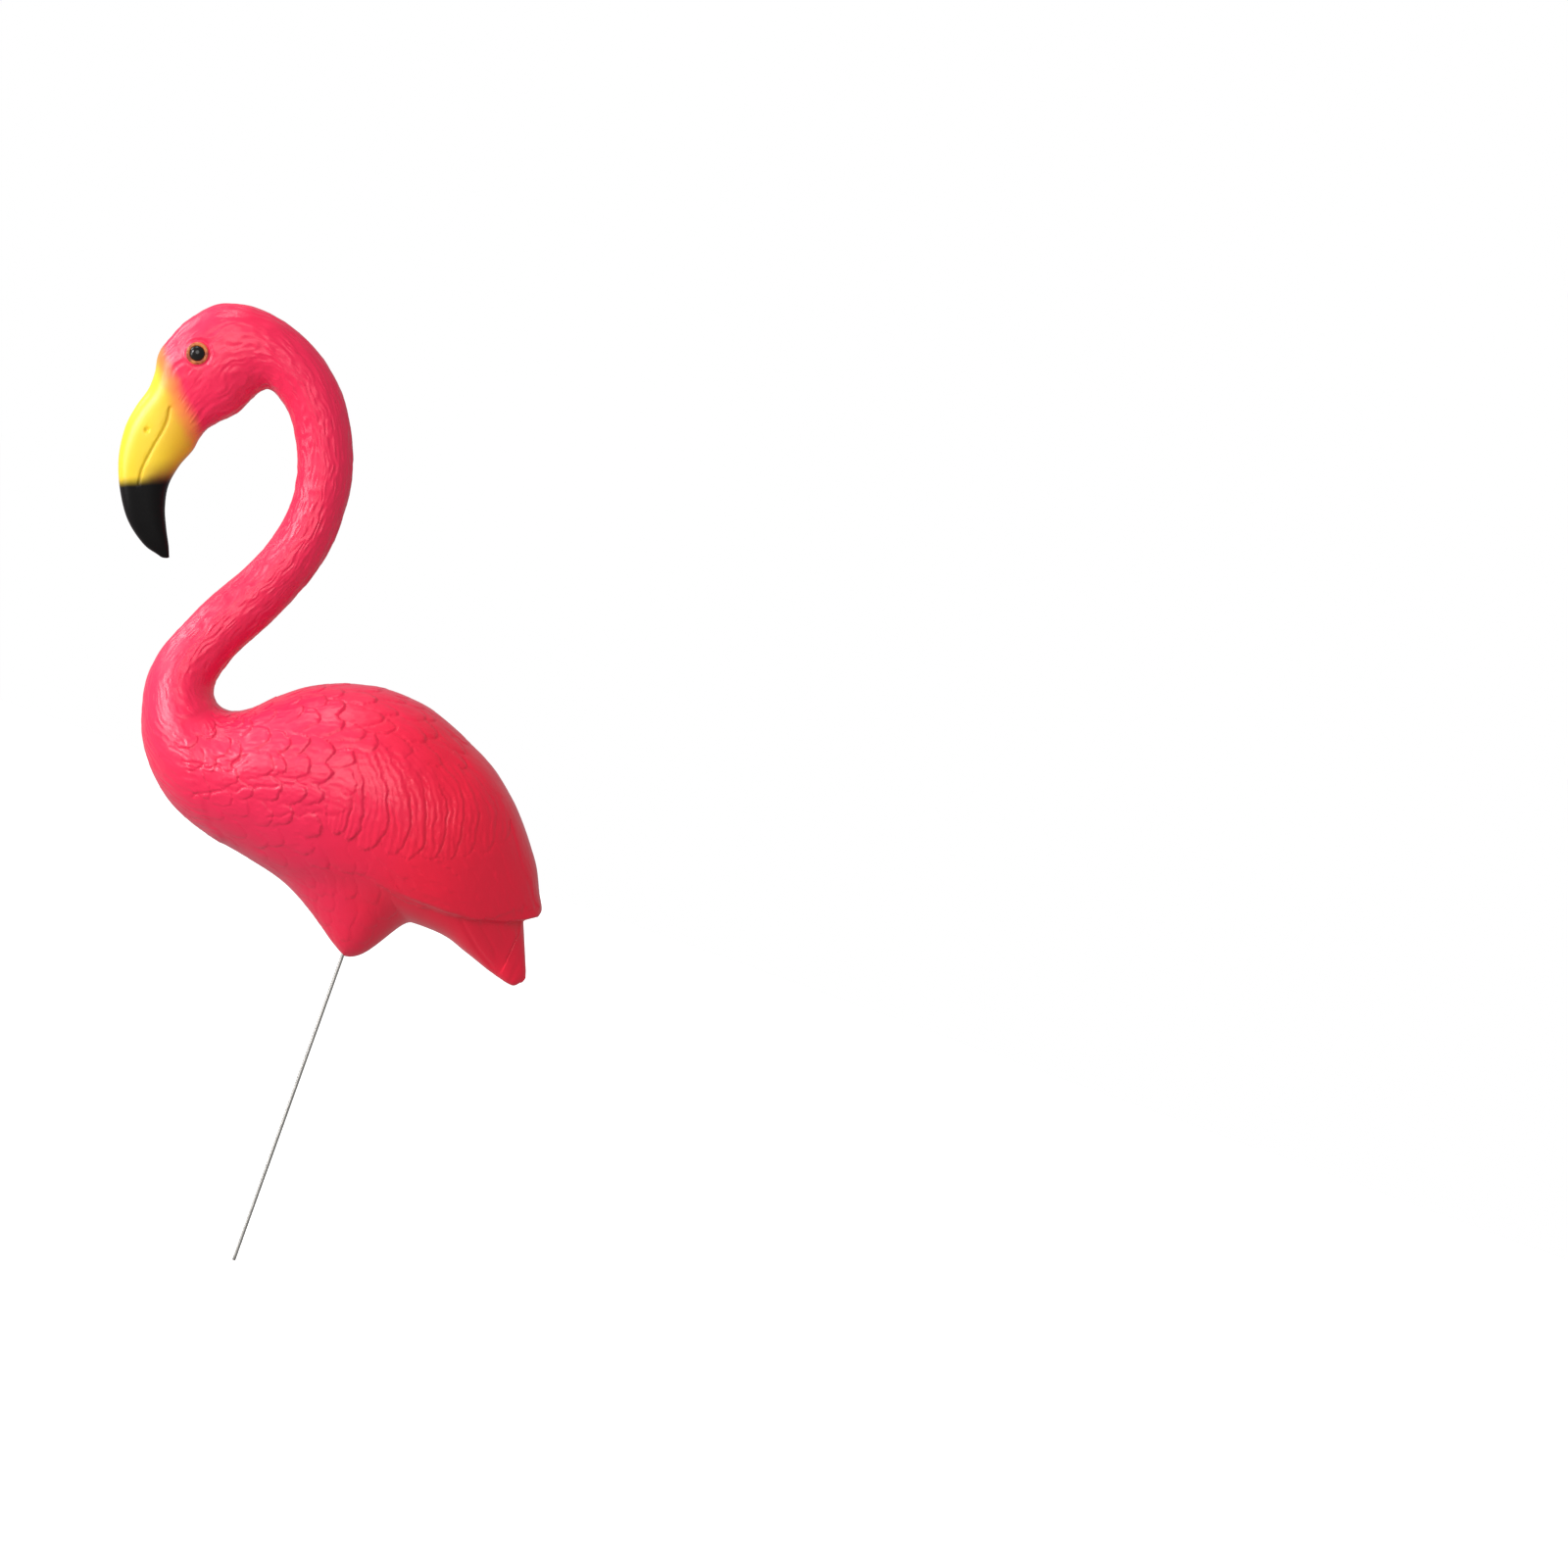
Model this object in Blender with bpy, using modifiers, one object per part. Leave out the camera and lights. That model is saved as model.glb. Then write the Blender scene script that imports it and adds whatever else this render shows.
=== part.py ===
"""A moulded garden flamingo that stands on one thin steel stake.

The bird looks along -X and is symmetric about the plane Y = 0. The origin is
the lower end of the stake, +Z is up and lengths are metres.
"""

import math
from collections import namedtuple

import bmesh
import bpy
import numpy as np
from mathutils import Matrix, Vector

# Driving sizes.
BIRD_HEIGHT = 0.547
STAKE_SHOWING = 0.306
STAKE_DIAMETER = 0.0035
STAKE_PLUGGED = 0.060
STAKE_CHAMFER = 0.0004
EYE_DIAMETER = 0.0145
EYE_DOME = 0.0042
EYE_SEAT = 0.0050
EYE_EDGE = 0.0004
FIT_GAP = 0.0003
CUTTER_MARGIN = 0.020
TRIANGLES = 8750
SKIN_ROWS = 500
SKIN_RINGS = 84

# The outline is drawn in shares of the bird's height: one unit is 1/547 of
# it, with x and z counted from the lower end of the leg stump.
UNIT = BIRD_HEIGHT / 547.0

# Sections from the beak's tip over the neck and the body to the tail's end:
# x and z on the upper outline, x and z on the lower outline, half width.
SECTIONS = (
    (-290, 296.5, -281, 299.5, 3.5),
    (-308, 302, -285, 309, 7.5),
    (-330, 319, -292, 322.5, 11),
    (-347, 345, -300, 341, 14),
    (-357.5, 372, -304, 362, 16.5),
    (-361, 400, -300.5, 383, 18.5),
    (-358, 422, -293.5, 401, 20),
    (-352.5, 441, -291, 416, 21.5),
    (-352, 458, -285, 428, 23.5),
    (-354.5, 476, -275, 438.5, 26),
    (-348.5, 495, -265.5, 449, 28.5),
    (-339, 515, -259.5, 461, 30),
    (-320, 536.5, -253.5, 472, 30.5),
    (-297, 546, -248.5, 478, 30),
    (-271, 547.3, -242, 479.3, 29),
    (-245, 542, -233, 475, 28),
    (-219, 531, -224, 468.5, 26.5),
    (-194, 514, -215, 459, 25.5),
    (-173, 491, -206.5, 445, 24.5),
    (-156, 462, -199, 430, 24),
    (-144, 430, -193, 411.5, 23.5),
    (-139.3, 395, -189.4, 389, 23),
    (-139.7, 360, -191.5, 364, 23.5),
    (-147, 327, -199, 337, 24),
    (-159, 296, -212, 308.5, 24.5),
    (-173, 266, -229.5, 279, 25.5),
    (-188, 239, -244.5, 248, 27.5),
    (-197.5, 214, -257.5, 217, 31),
    (-200, 199, -261.5, 186, 36),
    (-197, 189, -256, 155, 42),
    (-191, 184, -244, 126, 48.5),
    (-183.5, 181.4, -222, 98.5, 55.5),
    (-173.5, 182.2, -193, 77.5, 62.5),
    (-160, 190, -158, 65, 69.5),
    (-139, 210, -122, 57.5, 77),
    (-111, 230, -88, 50.5, 83),
    (-76, 244.5, -54, 46, 87),
    (-37, 250.5, -20, 45, 89),
    (2, 246, 12, 47.5, 88),
    (40, 231.5, 42, 50, 83),
    (75, 214, 67, 51, 75),
    (104, 190, 88, 48.5, 64),
    (126, 165, 107, 42, 51.5),
    (143, 142, 123, 36.3, 40),
    (154.5, 119, 135, 32.5, 31),
    (163, 101, 143, 30, 26),
    (152.5, 90.5, 147, 29, 25.5),
    (152.8, 82, 150, 28.2, 24.3),
    (156.3, 72.5, 154, 27.2, 22.5),
    (160.3, 63, 157.5, 26.7, 20),
    (164, 54, 160.5, 26.6, 17),
    (167.3, 46, 163.5, 28, 13),
    (169.5, 39, 166.5, 31.5, 7.5),
)
CROWN = 10
NECK = 16
SHOULDER = 33
TAIL = 45
TIP_BULGE = 2.8
TAIL_BULGE = 1.4

# Lower edge of the folded wing in side view, x and z in units, and how far
# the wing stands out over the flank and the tail there.
WING_EDGE = ((10, 66), (22, 74), (45, 72.5), (78, 72), (107, 74), (134, 81), (151, 89), (162, 96))
WING_STEP = ((10, 0), (30, 2.5), (60, 5), (110, 6), (140, 7), (162, 8))
WING_EDGE_SOFT = 1.8
WING_START = 37.5
WING_STEP_MOST = 0.45

# Rear edge of the tail under the wing's tip in side view, x and z in units
# from high to low, and the line before which the body's last sections stay
# there, with their spacing. Then how far these edges round off forwards per
# unit of width squared, the height over which the wing's underside turns into
# them, and how far forwards of the upper end they still count.
TAIL_REAR = ((149.3, 89.0), (170.4, 38.2))
TAIL_FRONT = ((152.5, 90.5), (147.0, 29.0))
TAIL_GAP = 1.4
TAIL_ROUND = 0.016
TAIL_LEDGE = 2.5
TAIL_REACH = 14

# Front edge of the wing's long feathers, z and x in units from low to high.
WING_FRONT = ((96, -80.6), (204, -63.4))

# Leg stump, in units: its centre line, depth under the belly, its reach to
# the front, rear and sides, and the powers of its slope in the same order.
STUMP_X = 2.5
STUMP_DEPTH = 47.0
STUMP_REACH_FRONT = 100.0
STUMP_REACH_REAR = 49.0
STUMP_REACH_SIDE = 60.0
STUMP_SHARP = (1.25, 2.2, 1.7)
STUMP_FALL = (2.2, 2.0, 2.0)

# Long wing feathers, root to tip in side view, in units.
LONG_FEATHERS = (
    ((-59, 166), (-52, 150), (-47, 132), (-43, 106)),
    ((-56, 180), (-44, 157), (-34, 132), (-31, 104)),
    ((-56, 193), (-31, 170), (-14, 145), (-9, 103)),
    ((-52, 203), (-20, 179), (1, 154), (12, 105)),
    ((-36, 206), (-4, 181), (17, 156), (30, 109)),
    ((-18, 208), (11, 186), (31, 164), (47, 116)),
    ((0, 209), (28, 190), (49, 169), (63, 122)),
    ((17, 209), (45, 191), (66, 171), (79, 130)),
    ((34, 208), (61, 193), (83, 174), (93, 139)),
    ((50, 206), (78, 194), (98, 176), (103, 149)),
)
LONG_WIDTH = 27.0
LONG_RISE = 3.8

# Flight feathers under them, fanned towards the wing's tip.
FLIGHT_ROOTS = ((-30, 100), (16, 232))
FLIGHT_TIPS = ((112, 78), (159, 108))
FLIGHT_COUNT = 8
FLIGHT_BOW = 16.0
FLIGHT_WIDTH = 24.0
FLIGHT_RISE = 2.0

# Short feathers on the shoulders, the back, the belly and the thighs. The
# first ones grow behind the neck's plumage, whose edge is given as z and x.
SCALE_SPACING = 24.0
SCALE_GIRTH = 26.0
SCALE_RISE = 4.2
SCALE_FIRST = 27.0
SCALE_LAST = 41.5
SCALE_JITTER = 0.10
PLUMAGE_EDGE = (
    (40, -128),
    (62, -142),
    (84, -160),
    (105, -184),
    (133, -198),
    (159, -210),
    (180, -194),
    (200, -176),
    (250, -176),
)
PLUMAGE_OVERLAP = 8.0
PLUMAGE_FADE = 60.0
PLUMAGE_REAR = 8

# Where the short feathers change, each a place in units and a span over which
# they do: hanging on the thigh, longer on the back, lower on belly and stump.
THIGH_TOP, THIGH_DEPTH = 112, 40
THIGH_FRONT, THIGH_LENGTH = -120, 50
BACK_LOW, BACK_DEPTH = 190, 20
BACK_FRONT, BACK_LENGTH = -110, 40
BELLY_TOP, BELLY_DEPTH = 120, 40
STUMP_TOP, STUMP_FADE = 34, 20
STUMP_BARE = 3

# Places in the grid of the smooth bird: its rows, its rings and the ring on
# the flank that the rows of short feathers are counted along.
GUIDE_ROWS = 260
GUIDE_RINGS = 60
FLANK_SHARE = 0.6

# The relief is lower near the seam on the bird's middle plane: where the
# surface's sideways normal is under SEAM_FADE it sinks to SEAM_SHARE.
SEAM_FADE = 0.6
SEAM_SHARE = 0.3

# Head, in units: side-view places and depths.
EYE_AT = (-319, 488)
EYE_RING = (7.6, 10.6)
EYE_RING_RISE = 1.0
NOSTRIL_AT = (-340, 404)
NOSTRIL_REACH = 4.0
NOSTRIL_DEPTH = 1.8
MOUTH = ((-326, 431), (-324.5, 420), (-325, 410), (-327.5, 397), (-330, 382), (-331.5, 367), (-330, 354))
MOUTH_WIDTH = 1.6
MOUTH_DEPTH = 1.3


# A feather: its line from root to tip, width and rise, where it starts to
# taper, how its height grows along it, and how far it leans to one side.
Feather = namedtuple("Feather", "line width rise taper ramp lean")
FEATHER_EDGE = 2.0
SHORT_TAPER = 0.45
SHORT_RAMP = 1.5
LONG_TAPER = 0.75


def spline(table, t):
    """Catmull-Rom curve through the rows of a table, read at places t."""
    rows = np.asarray(table, float)
    ends = (2 * rows[0] - rows[1], 2 * rows[-1] - rows[-2])
    rows = np.vstack((ends[0], rows, ends[1]))
    i = np.clip(np.floor(t).astype(int), 0, len(table) - 2)
    f = (t - i)[:, None]
    a, b, c, d = rows[i], rows[i + 1], rows[i + 2], rows[i + 3]
    return 0.5 * (2 * b + (c - a) * f + (2 * a - 5 * b + 4 * c - d) * f**2 + (3 * b - a - 3 * c + d) * f**3)


def ease(x):
    """0 to 1 with level ends."""
    x = np.clip(x, 0.0, 1.0)
    return x * x * (3 - 2 * x)


def even_places(rows):
    """Places along the sections that keep the rows about evenly apart."""
    t = np.linspace(0, len(SECTIONS) - 1, 4000)
    s = spline(SECTIONS, t)
    upper = np.hypot(np.diff(s[:, 0]), np.diff(s[:, 1]))
    lower = np.hypot(np.diff(s[:, 2]), np.diff(s[:, 3]))
    gone = np.concatenate(([0], np.cumsum(0.5 * (upper + lower) + 0.5 * np.maximum(upper, lower))))
    return np.interp(np.linspace(0, gone[-1], rows), gone, t)


def squareness(t):
    """Exponent of the section's round: 2 is an ellipse, more is squarer."""
    upper = 2 + 0.5 * ease((NECK - t) / 4) + 0.5 * ease((t - TAIL + 7) / 5)
    lower = 2 + 0.4 * ease((CROWN + 2 - t) / 3) + 0.7 * ease((t - TAIL + 8) / 4)
    return upper, lower


def stump_drop(x, y):
    """How far the belly is drawn down into the leg stump at x, y."""
    dx = x - STUMP_X
    away = np.maximum(np.hypot(dx, y), 1e-6)
    front = np.maximum(-dx / away, 0) ** 2
    rear = np.maximum(dx / away, 0) ** 2
    side = (y / away) ** 2
    reach = 1 / np.sqrt(
        front / STUMP_REACH_FRONT**2 + rear / STUMP_REACH_REAR**2 + side / STUMP_REACH_SIDE**2
    )
    sharp = STUMP_SHARP[0] * front + STUMP_SHARP[1] * rear + STUMP_SHARP[2] * side
    fall = STUMP_FALL[0] * front + STUMP_FALL[1] * rear + STUMP_FALL[2] * side
    r = np.clip(away / reach, 0, 1)
    return STUMP_DEPTH * (1 - r**sharp) ** fall


def line_x(line, z):
    """Where a straight line in side view is at height z."""
    (high_x, high_z), (low_x, low_z) = line
    return high_x + (high_z - z) * (low_x - high_x) / (high_z - low_z)


def half_rows(places, rings):
    """Half sections (x, y, z in units) on the side Y <= 0, from the upper
    outline to the lower one, with evenly spaced points."""
    s = spline(SECTIONS, places)
    upper = s[:, 0:2]
    lower = s[:, 2:4]
    half = np.maximum(s[:, 4], 0.5)
    middle = (upper + lower) / 2
    across = (upper - lower) / 2
    reach = np.hypot(across[:, 0], across[:, 1])
    across = across / reach[:, None]
    n_up, n_low = squareness(places)

    c = np.cos(np.linspace(0, math.pi, 721))
    n = np.where(c[None, :] > 0, n_up[:, None], n_low[:, None])
    out = (1 - np.abs(c)[None, :] ** n) ** (1 / n)
    y = half[:, None] * out
    q = reach[:, None] * c[None, :]
    x = middle[:, :1] + q * across[:, :1]
    z = middle[:, 1:] + q * across[:, 1:]

    edge = np.array(WING_EDGE, float)
    step = np.array(WING_STEP, float)
    above = z - np.interp(x, edge[:, 0], edge[:, 1])
    stand = np.interp(x, step[:, 0], step[:, 1], left=0)
    tail = ease((places - TAIL - 0.2) / 0.8)[:, None]
    wing = ease(0.5 + above / (2 * WING_EDGE_SOFT)) * (1 - tail)
    stand = stand * ease((places - WING_START) / 1.5)[:, None]
    y = y * (1 - (1 - wing) * np.minimum(stand / (0.85 * half[:, None]), WING_STEP_MOST))

    before = np.maximum(TAIL + 1 - places, 0)[:, None]
    rear = line_x(TAIL_REAR, z) - TAIL_ROUND * y**2
    front = np.minimum(line_x(TAIL_FRONT, z), rear) - TAIL_GAP * before
    rear = np.where(before > 0, front, rear)
    under = ease(-above / TAIL_LEDGE) * (x > TAIL_REAR[0][0] - TAIL_REACH)
    x = x - under * np.maximum(x - rear, 0)

    along_body = ease((places - SHOULDER) / 1.5) * ease((TAIL + 3 - places) / 3)
    z = z - stump_drop(x, y) * ease(-q / 15) * along_body[:, None]

    rows = np.empty((len(places), rings + 1, 3))
    for k in range(len(places)):
        line = np.stack((x[k], -y[k], z[k]), axis=1)
        gone = np.concatenate(([0], np.cumsum(np.linalg.norm(np.diff(line, axis=0), axis=1))))
        want = np.linspace(0, gone[-1], rings + 1)
        for axis in range(3):
            rows[k, :, axis] = np.interp(want, gone, line[:, axis])
    rows[:, 0, 1] = 0
    rows[:, -1, 1] = 0
    return rows


def whole_rows(half):
    """The half sections and their mirror image as closed rings."""
    other = half[:, -2:0:-1] * np.array((1, -1, 1))
    return np.concatenate((half, other), axis=1)


def normals(rows):
    """Unit normals of closed rings, pointing out."""
    along = np.gradient(rows, axis=0)
    around = np.roll(rows, -1, axis=1) - np.roll(rows, 1, axis=1)
    n = np.cross(around, along)
    return n / np.maximum(np.linalg.norm(n, axis=2, keepdims=True), 1e-9)


class Guide:
    """A plain grid of the smooth bird, to find places on its flank."""

    def __init__(self):
        self.places = even_places(GUIDE_ROWS)
        self.half = half_rows(self.places, GUIDE_RINGS)
        self.normal = normals(whole_rows(self.half))[:, : self.half.shape[1]]
        self.flat = self.half.reshape(-1, 3)

    def lift(self, x, z):
        """The point of the flank that side view shows at x, z."""
        k = np.argmin((self.flat[:, 0] - x) ** 2 + (self.flat[:, 2] - z) ** 2)
        return self.flat[k].copy()

    def line(self, knots, count):
        """A side-view line through the knots, lifted on the flank."""
        t = np.linspace(0, len(knots) - 1, count)
        side = spline(knots, t)
        points = np.array([self.lift(x, z) for x, z in side])
        for _ in range(2):
            points[1:-1] = (points[:-2] + 2 * points[1:-1] + points[2:]) / 4
        return points


def short_feathers(guide):
    """Overlapping short feathers in staggered, slightly uneven rows, each a
    two-point line from root to tip with its width and rise."""
    feathers = []
    chance = np.random.default_rng(7)
    half = guide.half
    gone = np.zeros(half.shape[:2])
    gone[1:] = np.cumsum(np.linalg.norm(np.diff(half, axis=0), axis=2), axis=0)
    flank = gone[:, int(FLANK_SHARE * GUIDE_RINGS)]
    start = np.interp(SCALE_FIRST, guide.places, flank)
    stop = np.interp(SCALE_LAST, guide.places, flank)
    for row in range(int((stop - start) / SCALE_SPACING)):
        at = start + row * SCALE_SPACING
        line = half[int(np.argmin(np.abs(flank - at)))]
        girth = np.concatenate(([0], np.cumsum(np.linalg.norm(np.diff(line, axis=0), axis=1))))
        number = max(4, int(round(girth[-1] / SCALE_GIRTH)))
        for i in range(number + 1):
            ahead, aside = SCALE_JITTER * (chance.random(2) - 0.5)
            share = (i + 0.5 * (row % 2) + aside) / number
            if share > 1:
                continue
            k = int(np.argmin(np.abs(flank - at - ahead * SCALE_SPACING)))
            j = int(round(np.interp(share * girth[-1], girth, np.arange(GUIDE_RINGS + 1))))
            size = 1 + 0.5 * SCALE_JITTER * (2 * chance.random() - 1)
            feathers.append(short_feather(guide, k, j, size, girth[-1] / number))
    return [f for f in feathers if f is not None]


def short_feather(guide, k, j, size, width):
    """One short feather rooted at grid place k, j, or None where none grows."""
    half = guide.half
    root = half[k, j]
    x, _, z = root
    low, high = WING_FRONT
    on_wing = low[0] < z < high[0] and x > np.interp(z, (low[0], high[0]), (low[1], high[1]))
    past_end = x > PLUMAGE_REAR
    edge = np.array(PLUMAGE_EDGE, float)
    behind = x - np.interp(z, edge[:, 0], edge[:, 1])
    if on_wing or past_end or behind < -PLUMAGE_OVERLAP or z < STUMP_BARE:
        return None
    grown = 0.55 + 0.45 * ease(behind / PLUMAGE_FADE)
    flows = half[min(k + 2, len(half) - 1)] - half[max(k - 2, 0)]
    steps = np.linalg.norm(flows, axis=1)
    local = steps[j] / steps.max()
    flow = flows[j] / steps[j]
    thigh = ease((THIGH_TOP - z) / THIGH_DEPTH) * ease((x - THIGH_FRONT) / THIGH_LENGTH)
    flow = flow * (1 - 0.75 * thigh) + np.array((0.25, 0, -0.95)) * 0.75 * thigh
    normal = guide.normal[k, j]
    flow = flow - normal * np.dot(flow, normal)
    if j in (0, half.shape[1] - 1):
        flow[1] = 0
    flow = flow / max(np.linalg.norm(flow), 1e-6)
    back = ease((z - BACK_LOW) / BACK_DEPTH) * ease((x - BACK_FRONT) / BACK_LENGTH)
    belly = ease((BELLY_TOP - z) / BELLY_DEPTH)
    length = np.clip(1.25 * local, 0.5, 1.0) * SCALE_SPACING * size * (1.65 + 0.8 * back + 0.4 * thigh)
    spread = width * size * (1.06 - 0.12 * back) * (0.75 + 0.25 * grown)
    stump = ease((STUMP_TOP - z) / STUMP_FADE)
    rise = SCALE_RISE * grown * (1 - 0.4 * back) * (1 - 0.3 * belly) * (1 - 0.6 * stump)
    line = np.array((root, root + flow * length))
    return Feather(line, spread, rise, SHORT_TAPER, SHORT_RAMP, 0.0)


def long_feathers(guide):
    """The curved wing coverts and the flight feathers under them."""
    feathers = []
    for i in range(FLIGHT_COUNT):
        share = i / (FLIGHT_COUNT - 1)
        root = [a + (b - a) * share for a, b in zip(*FLIGHT_ROOTS)]
        tip = [a + (b - a) * share for a, b in zip(*FLIGHT_TIPS)]
        bow = FLIGHT_BOW * (2 * share - 0.7)
        bent = ((root[0] + tip[0]) / 2 + 0.4 * bow, (root[1] + tip[1]) / 2 + bow)
        line = guide.line((root, bent, tip), 14)
        feathers.append(Feather(line, FLIGHT_WIDTH, FLIGHT_RISE, LONG_TAPER, 0.2, -0.7))
    for i, knots in enumerate(LONG_FEATHERS):
        grown = 0.75 + 0.25 * ease(i / 3) - 0.15 * ease((i - 6) / 3)
        line = guide.line(knots, 12)
        rise = LONG_RISE * (1.0 - 0.05 * i)
        feathers.append(Feather(line, LONG_WIDTH * grown, rise, LONG_TAPER, 0.25, 0.75))
    return feathers


def along_line(points, out, line):
    """Share of a line's length nearest to each point, and the distance from
    it, counted positive on the side of the out x line direction."""
    best = np.full(len(points), 1e9)
    share = np.zeros(len(points))
    off = np.zeros(len(points))
    steps = np.linalg.norm(np.diff(line, axis=0), axis=1)
    gone = 0.0
    for a, b, step in zip(line[:-1], line[1:], steps):
        d = (b - a) / max(step, 1e-9)
        u = np.clip((points - a) @ d, 0, step)
        gap = points - a - u[:, None] * d
        far = np.linalg.norm(gap, axis=1)
        nearer = far < best
        best[nearer] = far[nearer]
        share[nearer] = (gone + u[nearer]) / steps.sum()
        side = np.sign(np.einsum("ij,ij->i", gap, np.cross(out, d)))
        off[nearer] = (far * side)[nearer]
        gone += step
    return share, off


def lay(points, out, feathers):
    """Height of the topmost feather over every point."""
    height = np.zeros(len(points))
    for feather in feathers:
        width = feather.width
        low = feather.line.min(axis=0) - width
        high = feather.line.max(axis=0) + width
        near = np.where(np.all((points > low) & (points < high), axis=1))[0]
        if len(near) == 0:
            continue
        share, off = along_line(points[near], out[near], feather.line)
        body = np.clip((share - feather.taper) / (1 - feather.taper), 0, 1)
        reach = width / 2 * np.sqrt(1 - body**2) * (0.8 + 0.2 * ease(share / 0.4))
        inside = ease((reach - np.abs(off)) / FEATHER_EDGE + 0.5)
        across = np.clip(off / (width / 2), -1, 1)
        lean = abs(feather.lean)
        tilt = 0.5 + 0.5 * across * np.sign(feather.lean)
        shape = (1 - lean) * (1 - 0.4 * across**2) + lean * tilt
        shape = feather.rise * shape * (0.12 + 0.88 * share**feather.ramp) * ease(share / 0.25)
        height[near] = np.maximum(height[near], inside * shape)
    return height


def near_line(points, knots):
    """Side-view distance from each point to a line through the knots."""
    side = spline(knots, np.linspace(0, len(knots) - 1, 60))
    flat = points[:, (0, 2)]
    best = np.full(len(points), 1e9)
    for p in side:
        best = np.minimum(best, np.hypot(flat[:, 0] - p[0], flat[:, 1] - p[1]))
    return best


def eye_frame(guide):
    """Centre and outward axis of the eye on the side Y < 0, in units."""
    x, z = EYE_AT
    centre = guide.lift(x, z)
    near = np.linalg.norm(guide.flat - centre, axis=1) < 12
    axis = guide.normal.reshape(-1, 3)[near].mean(axis=0)
    axis = axis / np.linalg.norm(axis)
    axis = 0.35 * axis + np.array((0, -0.65, 0))
    return np.array((x, centre[1], z)), axis / np.linalg.norm(axis)


def carve_head(points, normal, guide):
    """Seat and ring of the eye, the nostril and the line of the mouth."""
    centre, axis = eye_frame(guide)
    side = points * np.array((1, -1, 1)) if points[:, 1].max() > 1 else points
    off = side - centre
    height = off @ axis
    radius = np.linalg.norm(off - height[:, None] * axis, axis=1)
    here = (radius < 20) & (np.abs(height) < 15)
    flat = ease((17 - radius) / 9) * here
    moved = points - flat[:, None] * height[:, None] * axis
    inner, outer = EYE_RING
    ring = ease((radius - inner + 1) / 1.5) * ease((outer + 0.8 - radius) / 1.6) * here
    moved = moved + axis * (ring * EYE_RING_RISE)[:, None]
    nostril = np.hypot(points[:, 0] - NOSTRIL_AT[0], points[:, 2] - NOSTRIL_AT[1])
    dent = NOSTRIL_DEPTH * ease(1 - nostril / NOSTRIL_REACH)
    groove = MOUTH_DEPTH * ease(1.3 - near_line(points, MOUTH) / MOUTH_WIDTH)
    return moved - normal * (dent + groove)[:, None]


def round_ends(rings):
    """The rings with a low dome of smaller rings added past each end."""
    domes = []
    for end, inner, bulge in ((rings[0], rings[1], TIP_BULGE), (rings[-1], rings[-2], TAIL_BULGE)):
        middle = end.mean(axis=0)
        out = middle - inner.mean(axis=0)
        out = out / np.linalg.norm(out)
        turns = np.radians((72, 48, 24))
        domes.append([middle + (end - middle) * math.cos(a) + out * bulge * math.sin(a) for a in turns])
    return np.concatenate((domes[0], rings, domes[1][::-1]))


def bird_rows(rows, rings):
    """The carved skin as closed rings, in units."""
    guide = Guide()
    half = half_rows(even_places(rows), rings)
    normal = normals(whole_rows(half))[:, : rings + 1]
    normal[:, (0, -1), 1] = 0
    flat = half.reshape(-1, 3)
    out = normal.reshape(-1, 3)
    height = lay(flat, out, long_feathers(guide) + short_feathers(guide))
    seam = ease(np.abs(out[:, 1]) / SEAM_FADE)
    height = height * (SEAM_SHARE + (1 - SEAM_SHARE) * seam) * ease((flat[:, 2] - 2) / 10)
    carved = carve_head(flat + out * height[:, None], out, guide)
    half = carved.reshape(half.shape)
    half[:, (0, -1), 1] = 0
    return round_ends(whole_rows(half))


def skin_mesh(name, rings):
    """A closed mesh from rings of points, with a fan on each end."""
    rows, around = rings.shape[:2]
    bm = bmesh.new()
    grid = [[bm.verts.new(p) for p in ring] for ring in rings.tolist()]
    for k in range(rows - 1):
        for j in range(around):
            n = (j + 1) % around
            bm.faces.new((grid[k][j], grid[k + 1][j], grid[k + 1][n], grid[k][n]))
    for k, turn in ((0, 1), (rows - 1, -1)):
        middle = bm.verts.new(rings[k].mean(axis=0).tolist())
        for j in range(around):
            n = (j + 1) % around
            bm.faces.new((middle, grid[k][j], grid[k][n])[::turn])
    bmesh.ops.recalc_face_normals(bm, faces=bm.faces)
    mesh = bpy.data.meshes.new(name)
    bm.to_mesh(mesh)
    bm.free()
    return mesh


def material(name, colour, roughness, metallic=0.0):
    """A plain Principled material."""
    made = bpy.data.materials.new(name)
    made.use_nodes = True
    shader = made.node_tree.nodes["Principled BSDF"]
    shader.inputs["Base Color"].default_value = (*colour, 1.0)
    shader.inputs["Roughness"].default_value = roughness
    shader.inputs["Metallic"].default_value = metallic
    made.diffuse_color = (*colour, 1.0)
    return made


def add_object(name, mesh, collection, surface=None):
    """A new object with its mesh and material in the collection."""
    thing = bpy.data.objects.new(name, mesh)
    collection.objects.link(thing)
    if surface is not None:
        mesh.materials.append(surface)
    return thing


def cylinder_mesh(name, radius, low, high, sides):
    """A closed cylinder along Z between two heights."""
    bm = bmesh.new()
    bmesh.ops.create_cone(bm, cap_ends=True, segments=sides, radius1=radius, radius2=radius, depth=high - low)
    bmesh.ops.translate(bm, verts=bm.verts, vec=(0, 0, (high + low) / 2))
    mesh = bpy.data.meshes.new(name)
    bm.to_mesh(mesh)
    bm.free()
    return mesh


def cut(target, cutter):
    """Cut one object out of another with an exact Boolean."""
    step = target.modifiers.new("cut " + cutter.name, "BOOLEAN")
    step.operation = "DIFFERENCE"
    step.solver = "EXACT"
    step.object = cutter
    cutter.hide_render = True
    cutter.display_type = "WIRE"


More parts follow.
